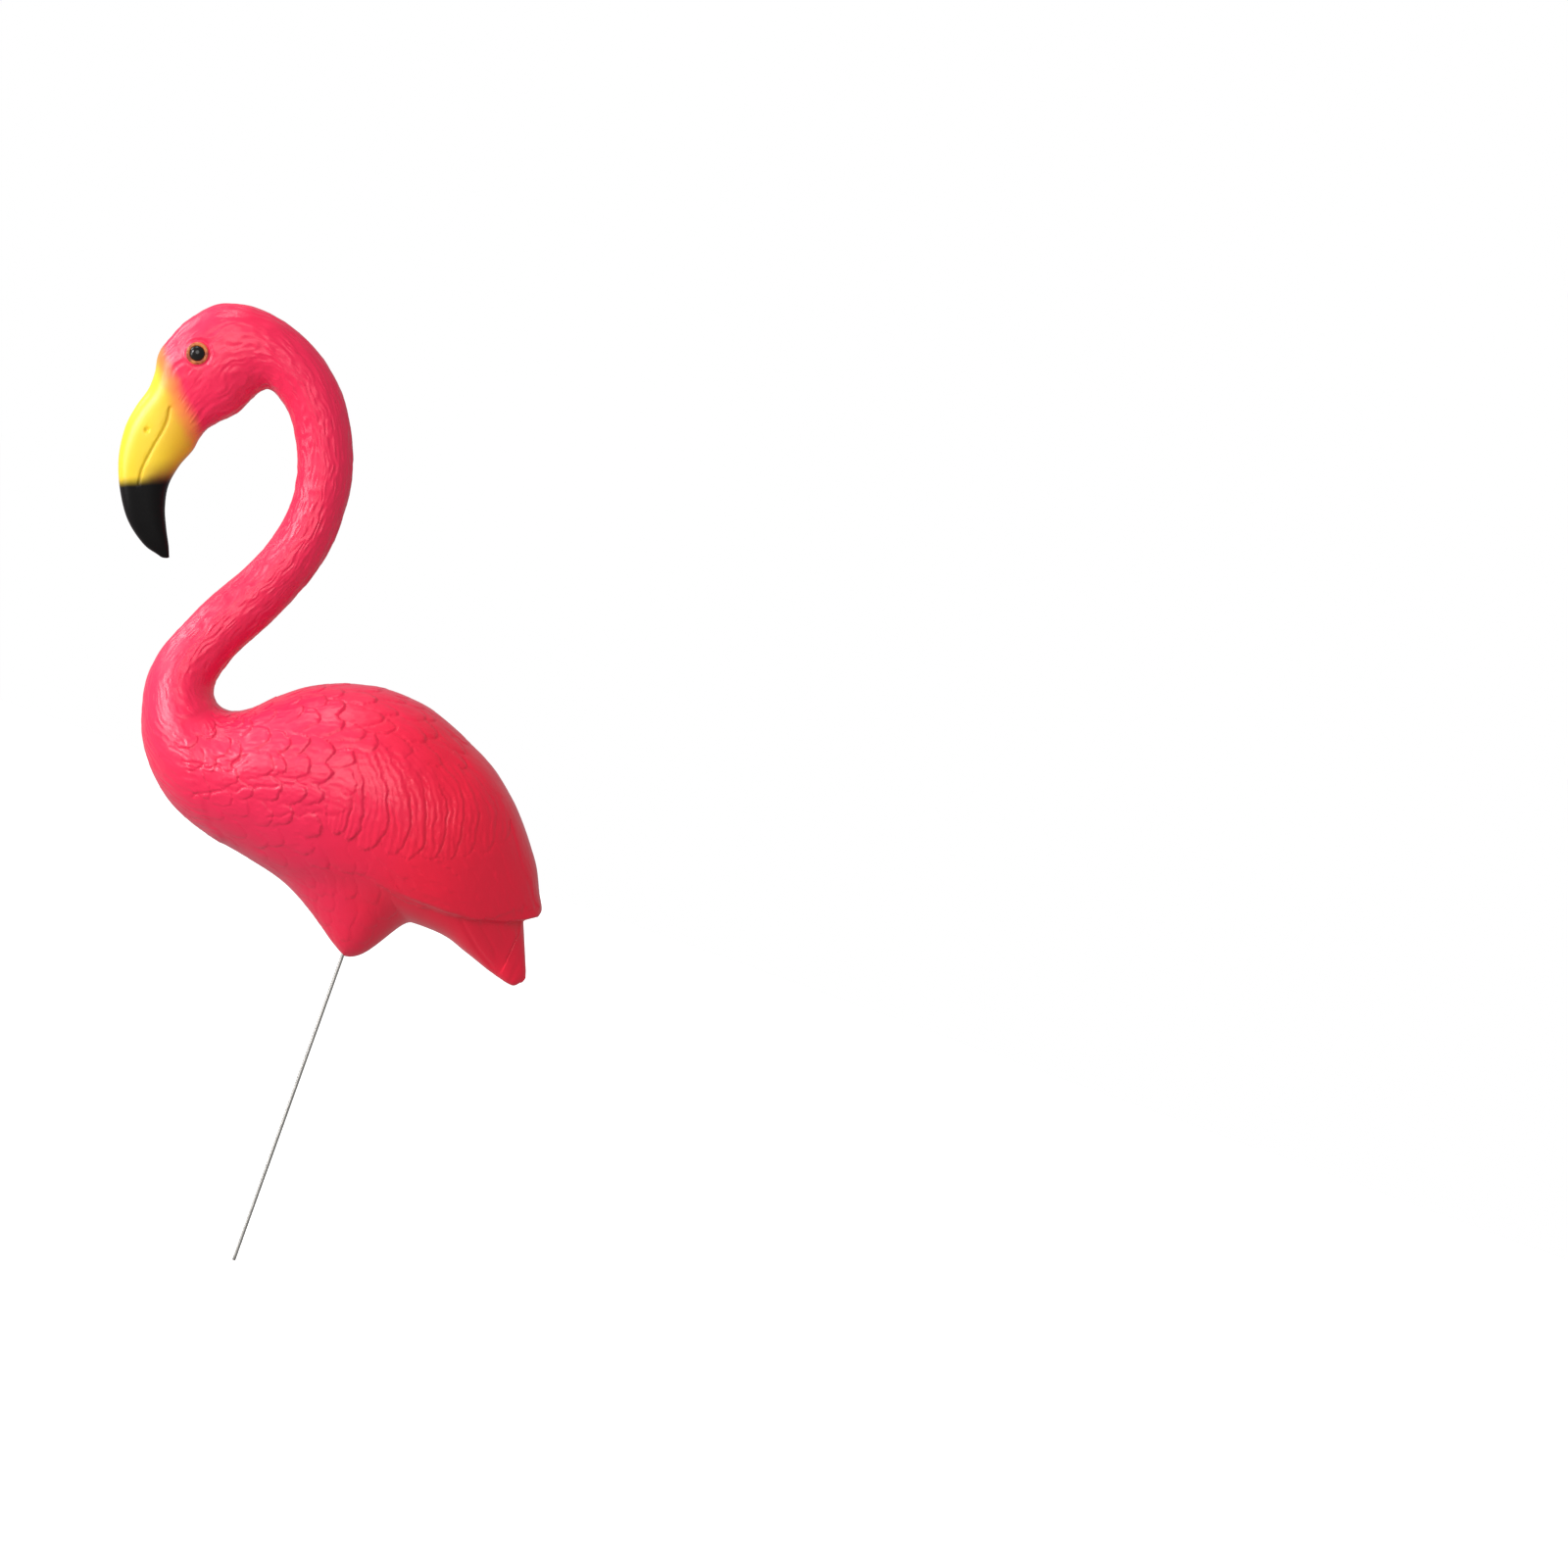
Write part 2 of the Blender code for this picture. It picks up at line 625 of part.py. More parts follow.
def eye_mesh(name):
    """A lens-shaped eye: a straight rim with a dome in front, axis +Z."""
    radius = EYE_DIAMETER / 2
    back = -EYE_SEAT
    profile = [(0.0, back), (radius - EYE_EDGE, back), (radius, back + EYE_EDGE), (radius, 0.0)]
    steps = 4
    for i in range(1, steps + 1):
        turn = i / steps * math.pi / 2
        profile.append((radius * math.cos(turn), EYE_DOME * math.sin(turn)))
    profile[-1] = (0.0, EYE_DOME)
    bm = bmesh.new()
    sides = 24
    rings = []
    for r, z in profile[1:-1]:
        ring = [bm.verts.new((r * math.cos(a), r * math.sin(a), z)) for a in
                [2 * math.pi * k / sides for k in range(sides)]]
        rings.append(ring)
    low = bm.verts.new((0, 0, profile[0][1]))
    high = bm.verts.new((0, 0, profile[-1][1]))
    for k in range(sides):
        n = (k + 1) % sides
        bm.faces.new((low, rings[0][n], rings[0][k]))
        for a, b in zip(rings[:-1], rings[1:]):
            bm.faces.new((a[k], a[n], b[n], b[k]))
        bm.faces.new((rings[-1][k], rings[-1][n], high))
    mesh = bpy.data.meshes.new(name)
    bm.to_mesh(mesh)
    bm.free()
    mesh.shade_smooth()
    return mesh


def to_world(p):
    """A place on the bird, in units, as metres in the world."""
    return Vector((p[0] * UNIT, p[1] * UNIT, p[2] * UNIT + STAKE_SHOWING))


def build():
    for thing in list(bpy.data.objects):
        bpy.data.objects.remove(thing, do_unlink=True)
    parts = bpy.data.collections.new("garden_flamingo")
    cutters = bpy.data.collections.new("cutters")
    bpy.context.scene.collection.children.link(parts)
    bpy.context.scene.collection.children.link(cutters)

    pink = material("coral pink resin", (0.78, 0.045, 0.10), 0.42)
    black = material("black eye", (0.012, 0.010, 0.010), 0.10)
    steel = material("drawn steel", (0.42, 0.41, 0.39), 0.38, 1.0)

    rings = bird_rows(SKIN_ROWS, SKIN_RINGS) * UNIT + np.array((0, 0, STAKE_SHOWING))
    skin = skin_mesh("flamingo", rings)
    skin.shade_smooth()
    flamingo = add_object("flamingo", skin, parts, pink)
    fewer = flamingo.modifiers.new("fewer faces", "DECIMATE")
    fewer.decimate_type = "COLLAPSE"
    fewer.ratio = TRIANGLES / (2 * len(skin.polygons))

    bore_radius = STAKE_DIAMETER / 2 + FIT_GAP
    bore = cylinder_mesh("stake_bore", bore_radius, -CUTTER_MARGIN, STAKE_PLUGGED + FIT_GAP, 24)
    bore_cutter = add_object("stake_bore", bore, cutters)
    bore_cutter.location = (0, 0, STAKE_SHOWING)
    cut(flamingo, bore_cutter)

    guide = Guide()
    centre, axis = eye_frame(guide)
    for name, side in (("eye_left", 1), ("eye_right", -1)):
        place = to_world(centre * np.array((1, side, 1)))
        out = Vector((axis[0], axis[1] * side, axis[2]))
        turn = out.to_track_quat("Z", "Y").to_matrix().to_4x4()
        matrix = Matrix.Translation(place) @ turn
        eye = add_object(name, eye_mesh(name), parts, black)
        eye.matrix_world = matrix
        seat_radius = EYE_DIAMETER / 2 + FIT_GAP
        seat = cylinder_mesh(name + "_seat", seat_radius, -EYE_SEAT - FIT_GAP, CUTTER_MARGIN, 28)
        seat_cutter = add_object(name + "_seat", seat, cutters)
        seat_cutter.matrix_world = matrix
        cut(flamingo, seat_cutter)

    rod = cylinder_mesh("stake", STAKE_DIAMETER / 2, 0.0, STAKE_SHOWING + STAKE_PLUGGED, 24)
    stake = add_object("stake", rod, parts, steel)
    edge = stake.modifiers.new("broken edges", "BEVEL")
    edge.width = STAKE_CHAMFER
    edge.segments = 1
    edge.limit_method = "ANGLE"
    rod.shade_smooth()


build()
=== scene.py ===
"""Looks of the moulded garden flamingo on its steel stake."""

import math
from collections import namedtuple

import bmesh
import bpy
import numpy as np
from mathutils import Matrix, Vector


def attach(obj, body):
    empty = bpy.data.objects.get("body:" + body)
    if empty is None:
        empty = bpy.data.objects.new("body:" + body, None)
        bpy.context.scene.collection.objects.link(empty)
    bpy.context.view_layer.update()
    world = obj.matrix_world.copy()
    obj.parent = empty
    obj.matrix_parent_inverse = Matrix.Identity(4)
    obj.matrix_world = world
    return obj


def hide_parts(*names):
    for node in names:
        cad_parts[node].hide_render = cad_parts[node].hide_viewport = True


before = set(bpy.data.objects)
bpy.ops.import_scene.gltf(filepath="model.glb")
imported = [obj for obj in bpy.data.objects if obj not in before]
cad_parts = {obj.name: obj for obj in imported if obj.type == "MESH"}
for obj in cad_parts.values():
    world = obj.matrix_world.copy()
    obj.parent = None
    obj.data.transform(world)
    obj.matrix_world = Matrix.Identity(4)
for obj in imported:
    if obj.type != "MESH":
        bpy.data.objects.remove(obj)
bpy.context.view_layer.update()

# Sizes in metres.
BIRD_HEIGHT = 0.547
STAKE_SHOWING = 0.306
STAKE_DIAMETER = 0.0035
STAKE_PLUGGED = 0.060
STAKE_CHAMFER = 0.0004
EYE_DIAMETER = 0.0145
EYE_DOME = 0.0042
EYE_SEAT = 0.0050

# The outline is drawn in shares of the bird's height: one unit is 1/547 of
# it, with x and z counted from the lower end of the leg stump.
UNIT = BIRD_HEIGHT / 547.0

# Sections from the beak's tip over the neck and the body to the tail's end:
# x and z on the upper outline, x and z on the lower outline, half width.
SECTIONS = (
    (-290, 296.5, -281, 299.5, 3.5),
    (-308, 302, -285, 309, 7.5),
    (-330, 319, -292, 322.5, 11),
    (-347, 345, -300, 341, 14),
    (-357.5, 372, -304, 362, 16.5),
    (-361, 400, -300.5, 383, 18.5),
    (-358, 422, -293.5, 401, 20),
    (-352.5, 441, -291, 416, 21.5),
    (-352, 458, -285, 428, 23.5),
    (-354.5, 476, -275, 438.5, 26),
    (-348.5, 495, -265.5, 449, 28.5),
    (-339, 515, -259.5, 461, 30),
    (-320, 536.5, -253.5, 472, 30.5),
    (-297, 546, -248.5, 478, 30),
    (-271, 547.3, -242, 479.3, 29),
    (-245, 542, -233, 475, 28),
    (-219, 531, -224, 468.5, 26.5),
    (-194, 514, -215, 459, 25.5),
    (-173, 491, -206.5, 445, 24.5),
    (-156, 462, -199, 430, 24),
    (-144, 430, -193, 411.5, 23.5),
    (-139.3, 395, -189.4, 389, 23),
    (-139.7, 360, -191.5, 364, 23.5),
    (-147, 327, -199, 337, 24),
    (-159, 296, -212, 308.5, 24.5),
    (-173, 266, -229.5, 279, 25.5),
    (-188, 239, -244.5, 248, 27.5),
    (-197.5, 214, -257.5, 217, 31),
    (-200, 199, -261.5, 186, 36),
    (-197, 189, -256, 155, 42),
    (-191, 184, -244, 126, 48.5),
    (-183.5, 181.4, -222, 98.5, 55.5),
    (-173.5, 182.2, -193, 77.5, 62.5),
    (-160, 190, -158, 65, 69.5),
    (-139, 210, -122, 57.5, 77),
    (-111, 230, -88, 50.5, 83),
    (-76, 244.5, -54, 46, 87),
    (-37, 250.5, -20, 45, 89),
    (2, 246, 12, 47.5, 88),
    (40, 231.5, 42, 50, 83),
    (75, 214, 67, 51, 75),
    (104, 190, 88, 48.5, 64),
    (126, 165, 107, 42, 51.5),
    (143, 142, 123, 36.3, 40),
    (154.5, 119, 135, 32.5, 31),
    (163, 101, 143, 30, 26),
    (152.5, 90.5, 147, 29, 25.5),
    (152.8, 82, 150, 28.2, 24.3),
    (156.3, 72.5, 154, 27.2, 22.5),
    (160.3, 63, 157.5, 26.7, 20),
    (164, 54, 160.5, 26.6, 17),
    (167.3, 46, 163.5, 28, 13),
    (169.5, 39, 166.5, 31.5, 7.5),
)

# Numbers of some sections.
CROWN, NECK, SHOULDER, TAIL = 10, 16, 33, 45

# Domes past the beak's tip and the tail, and the turns of their rings.
TIP_BULGE = 2.8
TAIL_BULGE = 1.4
DOME_TURNS = (72, 48, 24)

# Samples of outline and section, and the least half width.
OUTLINE_POINTS = 4000
SECTION_POINTS = 721
LEAST_WIDTH = 0.5

# Exponents of the sections' round, and what is added on head, beak and tail.
ELLIPSE = 2
HEAD_SQUARE = 0.5
BEAK_SQUARE = 0.4
TAIL_SQUARE = (0.5, 0.7)

# Lower edge of the folded wing, and how far it stands out there.
WING_EDGE = ((10, 66), (22, 74), (45, 72.5), (78, 72))
WING_EDGE += ((107, 74), (134, 81), (151, 89), (162, 96))
WING_STEP = ((10, 0), (30, 2.5), (60, 5), (110, 6), (140, 7), (162, 8))
WING_EDGE_SOFT = 1.8
WING_START = 37.5
WING_STEP_MOST = 0.45

# Rear edge of the tail under the wing's tip, and the line before which the
# body's last sections stay there with their spacing. Then how the edge rounds
# off with the width squared, and how far up and forwards it counts.
TAIL_REAR = ((149.3, 89.0), (170.4, 38.2))
TAIL_FRONT = ((152.5, 90.5), (147.0, 29.0))
TAIL_GAP = 1.4
TAIL_ROUND = 0.016
TAIL_LEDGE = 2.5
TAIL_REACH = 14

# Front edge of the wing's long feathers, z and x in units from low to high.
WING_FRONT = ((96, -80.6), (204, -63.4))

# Leg stump: its centre line, where it grows from under the sections' middle,
# its depth, its reach to the front, rear and sides, and its slope's powers.
STUMP_X = 2.5
STUMP_BLEND = 15
STUMP_DEPTH = 47.0
STUMP_REACH = (100.0, 49.0, 60.0)
STUMP_SHARP = (1.25, 2.2, 1.7)
STUMP_FALL = (2.2, 2.0, 2.0)

# Long wing feathers, root to tip in side view, in units.
LONG_FEATHERS = (
    ((-59, 166), (-52, 150), (-47, 132), (-43, 106)),
    ((-56, 180), (-44, 157), (-34, 132), (-31, 104)),
    ((-56, 193), (-31, 170), (-14, 145), (-9, 103)),
    ((-52, 203), (-20, 179), (1, 154), (12, 105)),
    ((-36, 206), (-4, 181), (17, 156), (30, 109)),
    ((-18, 208), (11, 186), (31, 164), (47, 116)),
    ((0, 209), (28, 190), (49, 169), (63, 122)),
    ((17, 209), (45, 191), (66, 171), (79, 130)),
    ((34, 208), (61, 193), (83, 174), (93, 139)),
    ((50, 206), (78, 194), (98, 176), (103, 149)),
)
LONG_WIDTH = 27.0
LONG_RISE = 2.0
LONG_RISE_STEP = 0.05
LONG_RAMP = 0.25
LONG_LEAN = 0.75
LONG_POINTS = 12

# Flight feathers under them, fanned towards the wing's tip.
FLIGHT_ROOTS = ((-30, 100), (16, 232))
FLIGHT_TIPS = ((112, 78), (159, 108))
FLIGHT_COUNT = 8
FLIGHT_BOW = 16.0
FLIGHT_WIDTH = 24.0
FLIGHT_RISE = 1.2
FLIGHT_RAMP = 0.2
FLIGHT_LEAN = -0.7
FLIGHT_POINTS = 14

# Short feathers, behind the neck's plumage, whose edge is given as z and x.
SCALE_SPACING = 20.5
SCALE_GIRTH = 22.5
SCALE_RISE = 2.0
SCALE_FIRST = 27.0
SCALE_LAST = 41.5
SCALE_JITTER = 0.25
SCALE_SEED = 7
SCALE_LENGTH = 1.65
SCALE_SPREAD = 1.06
PLUMAGE_EDGE = ((40, -128), (62, -142), (84, -160), (105, -184))
PLUMAGE_EDGE += ((133, -198), (159, -210), (180, -194), (200, -176), (250, -176))
PLUMAGE_OVERLAP = 8.0
PLUMAGE_FADE = 60.0
PLUMAGE_REAR = 8
PLUMAGE_RISE = 0.55
PLUMAGE_SPREAD = 0.75

# Where they change, each a place and a span: on the thigh, the back, the belly
# and the stump.
THIGH_TOP, THIGH_DEPTH = 112, 40
THIGH_FRONT, THIGH_LENGTH = -120, 50
BACK_LOW, BACK_DEPTH = 190, 20
BACK_FRONT, BACK_LENGTH = -110, 40
BELLY_TOP, BELLY_DEPTH = 120, 40
STUMP_TOP, STUMP_FADE = 34, 20
STUMP_BARE = 3

# How much they hang down there, and are longer, narrower or lower.
THIGH_TURN, THIGH_HANG = 0.75, (0.25, 0, -0.95)
THIGH_LONGER, BACK_LONGER = 0.4, 0.8
BACK_NARROWER = 0.12
BACK_LOWER, BELLY_LOWER, STUMP_LOWER = 0.4, 0.3, 0.6

# The smooth bird's rows and rings, and the ring along which rows of short
# feathers are counted.
GUIDE_ROWS = 260
GUIDE_RINGS = 60
FLANK_SHARE = 0.6

# Near the seam, where the sideways normal is small, the relief is lower.
SEAM_FADE = 0.6
SEAM_SHARE = 0.3

# Head, in units: side-view places and depths.
EYE_AT = (-319, 488)
EYE_RING = (7.6, 10.6)
EYE_RING_RISE = 1.0
NOSTRIL_AT = (-340, 404)
NOSTRIL_REACH = 4.0
NOSTRIL_DEPTH = 2.6
MOUTH = ((-326, 431), (-324.5, 420), (-325, 410), (-327.5, 397))
MOUTH += ((-330, 382), (-331.5, 367), (-330, 354))
MOUTH_WIDTH = 1.9
MOUTH_DEPTH = 1.7

# The flat round the eye with its soft rim, and how much the eye looks along
# the skin's normal and to the side.
EYE_FLAT = 17
EYE_FLAT_SOFT = 9
EYE_LOOK = (0.35, -0.65)

# The fold outside the eye's ring, in units.
EYE_FOLD_RADIUS = 12.6
EYE_FOLD_WIDTH = 2.6
EYE_FOLD_DEPTH = 1.5

# Grid of the fine skin, and the triangles that it is reduced to.
ROWS = 1100
RINGS = 190
SKIN_TRIANGLES = 196000

# The soft band at the feathers' edges, and the groove outside them, which grows
# with how far a feather stands out and with its length.
FINE_EDGE = 1.0
GROOVE_WIDTH = 1.3
GROOVE_DEPTH = 0.7
GROOVE_COVER = 0.35
GROOVE_START = 0.3

# Width and height at a feather's root and the share of its length over which
# they become full, and how far it is domed.
ROOT_WIDTH, ROOT_WIDENS = 0.8, 0.4
ROOT_LIFT, ROOT_LIFTS = 0.12, 0.25
CAMBER = 0.4

# How the edges of feathers and of their groups wander: axis, reach, the noise's
# steps along x and z, and its seed.
FEATHER_SWAY = (
    (0, 5.5, 22, 30, 101),
    (0, 3.0, 7, 9, 103),
    (2, 7.0, 18, 26, 105),
    (2, 4.0, 5, 7, 107),
)
GROUP_SWAY = (
    (0, 5, 9, 9, 81),
    (2, 9, 8, 8, 83),
)

# Fine lines along the feathers: their number over half a width, their height
# by kind, and the feather's height where they are full.
BARB_COUNT = 4.6
BARBS_FLIGHT = 0.13
BARBS_LONG = 0.38
BARBS_SHORT = 0.26
BARBS_FULL = 0.4

# Short feathers and grooves are softer on the belly.
BELLY_SOFT = 0.6
BELLY_SOFT_FROM = 30
BELLY_SOFT_TOP, BELLY_SOFT_DEPTH = 130, 60

# Hair-like strokes: width, length and seed by place, and their heights.
NECK_STROKE = (2.5, 12.5, 11)
BREAST_STROKE = (3.0, 12, 13)
BODY_STROKE = (4.2, 15, 31)
NECK_GIRTH = 78
NECK_HAIR = 0.62
BREAST_HAIR_LESS = 0.12
BODY_HAIR = 0.16

# The plumage that carries them: its ragged edge, its height over the feathers,
# and the sections where the face ends, the breast starts and the neck ends.
RAGGED_REACH = 14
RAGGED_SOFT = 10
PLUMAGE_HEIGHT = 0.9
BREAST_START = 26
FACE_END = 14
NECK_END = 27

# Unevenness everywhere and fine grain: height and size, in units.
UNEVEN_HEIGHT, UNEVEN_SIZE = 0.45, 17
GRAIN_HEIGHT, GRAIN_SIZE = 0.14, 2.6

# Side-view places across the soft edge between face and beak, and across that
# of the black tip, each pair 1 cm apart. A third pair goes across the beak.
BEAK_EDGE = ((-323.0, 442.5), (-330.25, 435.6))
TIP_EDGE = ((-326.0, 356.0), (-321.9, 346.9))
BEAK_ACROSS = ((-348, 385), (-296, 405))

# Grooves on the tail from under the wing to its tip, and the lower edges of
# three groups of shoulder feathers, in side view, each kind with its depth,
# reach and width. Behind PLAIN_TAIL the skin under the wing is plain.
TAIL_GROOVES = (
    ((96, 68), (122, 46), (146, 33)),
    ((114, 71), (136, 50), (153, 32)),
    ((130, 76), (148, 55), (159, 32)),
    ((143, 80), (156, 60), (164, 36)),
)
GROUP_EDGES = (
    ((-200, 120), (-175, 127), (-153, 131), (-145, 148)),
    ((-178, 96), (-150, 110), (-131, 120), (-105, 131), (-83, 142)),
    ((-106, 100), (-92, 108), (-80, 113), (-59, 124)),
)
TAIL_CUT = (0.7, 1.5, 1.8)
GROUP_CUT = (0.8, 1.6, 1.4)
FLANK_ONLY = 0.2
PLAIN_TAIL = 134.0

# Colours of the moulding, the eyes and the wire.
# The pink comes in a lit and a shaded copy: paler pink in front as painted light, and deeper pink
# towards the tail as painted shade.
PINK_LIT = (0.87, 0.012, 0.078)
PINK_SHADED = (0.92, 0.005, 0.040)
ORANGE = (0.88, 0.22, 0.045)
YELLOW = (0.90, 0.62, 0.022)
# The beak's yellow, darkened as painted shade on its rear side.
YELLOW_SHADED = (0.78, 0.40, 0.012)
# BROWN is the airbrushed blend into the black tip. It shows only on the rear side, which makes it
# partly painted shade.
BROWN = (0.25, 0.085, 0.006)
BLACK = (0.003, 0.003, 0.003)
EYE_RIM = (0.30, 0.045, 0.008)
EYE_RIM_PALE = (0.58, 0.16, 0.03)
EYE_BLACK = (0.003, 0.002, 0.002)
EYE_BROWN = (0.010, 0.007, 0.006)
STEEL = (0.30, 0.29, 0.27)
STEEL_PALE = (0.52, 0.51, 0.48)
SHEEN_TINT = (1.0, 0.55, 0.65)
WHITE = (1.0, 1.0, 1.0)

# Where colours change: in metres, in cm along BEAK_EDGE and TIP_EDGE, and as
# shares of BEAK_ACROSS and of noise.
# Painted shade: the pink deepens along x from the neck's front to the tail.
PINK_SHADE_SPAN = (-0.14, 0.12)
BEAK_ONLY = (-0.266, -0.270)
# Partly painted shade: the brown is kept to the beak's rear side.
BROWN_SHADE_SIDE = (-0.336, -0.312)
RIM_END = (0.0113, 0.0100)
ORANGE_BAND = (-1.3, 0.1)
YELLOW_BAND = (-0.2, 1.3)
BROWN_BAND = (-2.4, 0.0)
BLACK_BAND = (-0.9, 0.3)
# Painted shade: where across the beak the yellow darkens.
YELLOW_SHADE_SPAN = (0.30, 0.95)
PALER_RIM = (0.4, 0.65)

# Gloss of the moulding, and how much less of it the black tip has.
MOULDING_GLOSS, TIP_DULLER = 0.50, 0.36

# The white floor and backdrop.
STAGE_RADIUS = 30.0
FLOOR_DROP = 0.0002
FLOOR_GREY, FLOOR_GLOW = 0.95, 0.9
SHELL_GREY, SHELL_GLOW = 0.0, 1.0

# The camera: the photograph is turned clockwise, so the camera is rolled.
PHOTO_ROLL = math.radians(19.67)
PHOTO_MM_PER_PIXEL = 0.925
STUMP_PIXEL = (349.7, 974.4)
PHOTO_SIZE = 1600
LENS = 300.0
SENSOR = 36.0
CAMERA_RANGE = 100.0

# Soft lamps aimed at the bird's middle: name, place, size, power, colour.
LAMP_AIM = (-0.1, 0.0, 0.55)
LAMPS = (
    ("key", (-2.65, -1.6, 1.0), 1.0, 46, (1.0, 0.95, 1.0)),
    ("front", (-0.8, -3.4, 1.5), 2.0, 38, WHITE),
    ("low", (-2.2, -0.9, 0.1), 0.9, 12, WHITE),
    ("rim", (-2.9, 0.5, 1.9), 1.2, 34, WHITE),
    ("top", (-1.4, -0.4, 3.1), 1.0, 16, WHITE),
)

# Light from all round: its strength falls along x from in front of the bird.
SKY_X = (-1.0, 0.3)
SKY_LIGHT = (0.62, 0.40)


# A feather: its line from root to tip, its width and rise, where it starts to
# taper, how its height grows and how far it leans to one side.
Feather = namedtuple("Feather", "line width rise taper ramp lean")
SHORT_TAPER = 0.45
SHORT_RAMP = 1.5
LONG_TAPER = 0.75


def spline(table, t):
    """Catmull-Rom curve through the rows of a table, read at places t."""
    rows = np.asarray(table, float)
    ends = (2 * rows[0] - rows[1], 2 * rows[-1] - rows[-2])
    rows = np.vstack((ends[0], rows, ends[1]))
    i = np.clip(np.floor(t).astype(int), 0, len(table) - 2)
    f = (t - i)[:, None]
    a, b, c, d = rows[i], rows[i + 1], rows[i + 2], rows[i + 3]
    square = (2 * a - 5 * b + 4 * c - d) * f**2
    cube = (3 * b - a - 3 * c + d) * f**3
    return 0.5 * (2 * b + (c - a) * f + square + cube)


def read(table, at):
    """A table of places and values, read between its rows."""
    places, values = zip(*table)
    return np.interp(at, places, values)


def lengths(points):
    """How far each point of a line is along it."""
    steps = np.linalg.norm(np.diff(points, axis=0), axis=-1)
    return np.concatenate((np.zeros_like(steps[:1]), np.cumsum(steps, axis=0)))


def ease(x):
    """0 to 1 with level ends."""
    x = np.clip(x, 0.0, 1.0)
    return x * x * (3 - 2 * x)


def even_places(rows):
    """Places along the sections that keep the rows about evenly apart."""
    t = np.linspace(0, len(SECTIONS) - 1, OUTLINE_POINTS)
    s = spline(SECTIONS, t)
    upper = np.hypot(np.diff(s[:, 0]), np.diff(s[:, 1]))
    lower = np.hypot(np.diff(s[:, 2]), np.diff(s[:, 3]))
    steps = 0.5 * (upper + lower) + 0.5 * np.maximum(upper, lower)
    gone = np.concatenate(([0], np.cumsum(steps)))
    return np.interp(np.linspace(0, gone[-1], rows), gone, t)


def squareness(t):
    """Exponents of the section's round, above and below: more is squarer."""
    over_tail, under_tail = TAIL_SQUARE
    upper = ELLIPSE + HEAD_SQUARE * ease((NECK - t) / 4)
    upper = upper + over_tail * ease((t - TAIL + 7) / 5)
    lower = ELLIPSE + BEAK_SQUARE * ease((CROWN + 2 - t) / 3)
    lower = lower + under_tail * ease((t - TAIL + 8) / 4)
    return upper, lower


def stump_drop(x, y):
    """How far the belly is drawn down into the leg stump at x, y."""
    dx = x - STUMP_X
    away = np.maximum(np.hypot(dx, y), 1e-6)
    sides = (np.maximum(-dx / away, 0) ** 2, np.maximum(dx / away, 0) ** 2, (y / away) ** 2)
    reach = 1 / np.sqrt(sum(part / far**2 for part, far in zip(sides, STUMP_REACH)))
    sharp = sum(power * part for power, part in zip(STUMP_SHARP, sides))
    fall = sum(power * part for power, part in zip(STUMP_FALL, sides))
    r = np.clip(away / reach, 0, 1)
    return STUMP_DEPTH * (1 - r**sharp) ** fall


def line_x(line, z):
    """Where a straight line in side view is at height z."""
    (high_x, high_z), (low_x, low_z) = line
    return high_x + (high_z - z) * (low_x - high_x) / (high_z - low_z)


def half_rows(places, rings):
    """Half sections (x, y, z in units) on the side Y <= 0, from the upper
    outline to the lower one, with evenly spaced points."""
    s = spline(SECTIONS, places)
    upper = s[:, 0:2]
    lower = s[:, 2:4]
    half = np.maximum(s[:, 4], LEAST_WIDTH)
    middle = (upper + lower) / 2
    across = (upper - lower) / 2
    reach = np.hypot(across[:, 0], across[:, 1])
    across = across / reach[:, None]
    n_up, n_low = squareness(places)

    c = np.cos(np.linspace(0, math.pi, SECTION_POINTS))
    n = np.where(c[None, :] > 0, n_up[:, None], n_low[:, None])
    out = (1 - np.abs(c)[None, :] ** n) ** (1 / n)
    y = half[:, None] * out
    q = reach[:, None] * c[None, :]
    x = middle[:, :1] + q * across[:, :1]
    z = middle[:, 1:] + q * across[:, 1:]

    above = z - read(WING_EDGE, x)
    stand = read(WING_STEP, x)
    tail = ease((places - TAIL - 0.2) / 0.8)[:, None]
    wing = ease(0.5 + above / (2 * WING_EDGE_SOFT)) * (1 - tail)
    stand = stand * ease((places - WING_START) / 1.5)[:, None]
    y = y * (1 - (1 - wing) * np.minimum(stand / (0.85 * half[:, None]), WING_STEP_MOST))

    before = np.maximum(TAIL + 1 - places, 0)[:, None]
    rear = line_x(TAIL_REAR, z) - TAIL_ROUND * y**2
    front = np.minimum(line_x(TAIL_FRONT, z), rear) - TAIL_GAP * before
    rear = np.where(before > 0, front, rear)
    under = ease(-above / TAIL_LEDGE) * (x > TAIL_REAR[0][0] - TAIL_REACH)
    x = x - under * np.maximum(x - rear, 0)

    along_body = ease((places - SHOULDER) / 1.5) * ease((TAIL + 3 - places) / 3)
    z = z - stump_drop(x, y) * ease(-q / STUMP_BLEND) * along_body[:, None]

    rows = np.empty((len(places), rings + 1, 3))
    for k in range(len(places)):
        line = np.stack((x[k], -y[k], z[k]), axis=1)
        gone = lengths(line)
        want = np.linspace(0, gone[-1], rings + 1)
        for axis in range(3):
            rows[k, :, axis] = np.interp(want, gone, line[:, axis])
    rows[:, 0, 1] = 0
    rows[:, -1, 1] = 0
    return rows


def whole_rows(half):
    """The half sections and their mirror image as closed rings."""
    other = half[:, -2:0:-1] * np.array((1, -1, 1))
    return np.concatenate((half, other), axis=1)


def normals(rows):
    """Unit normals of closed rings, pointing out."""
    along = np.gradient(rows, axis=0)
    around = np.roll(rows, -1, axis=1) - np.roll(rows, 1, axis=1)
    n = np.cross(around, along)
    return n / np.maximum(np.linalg.norm(n, axis=2, keepdims=True), 1e-9)


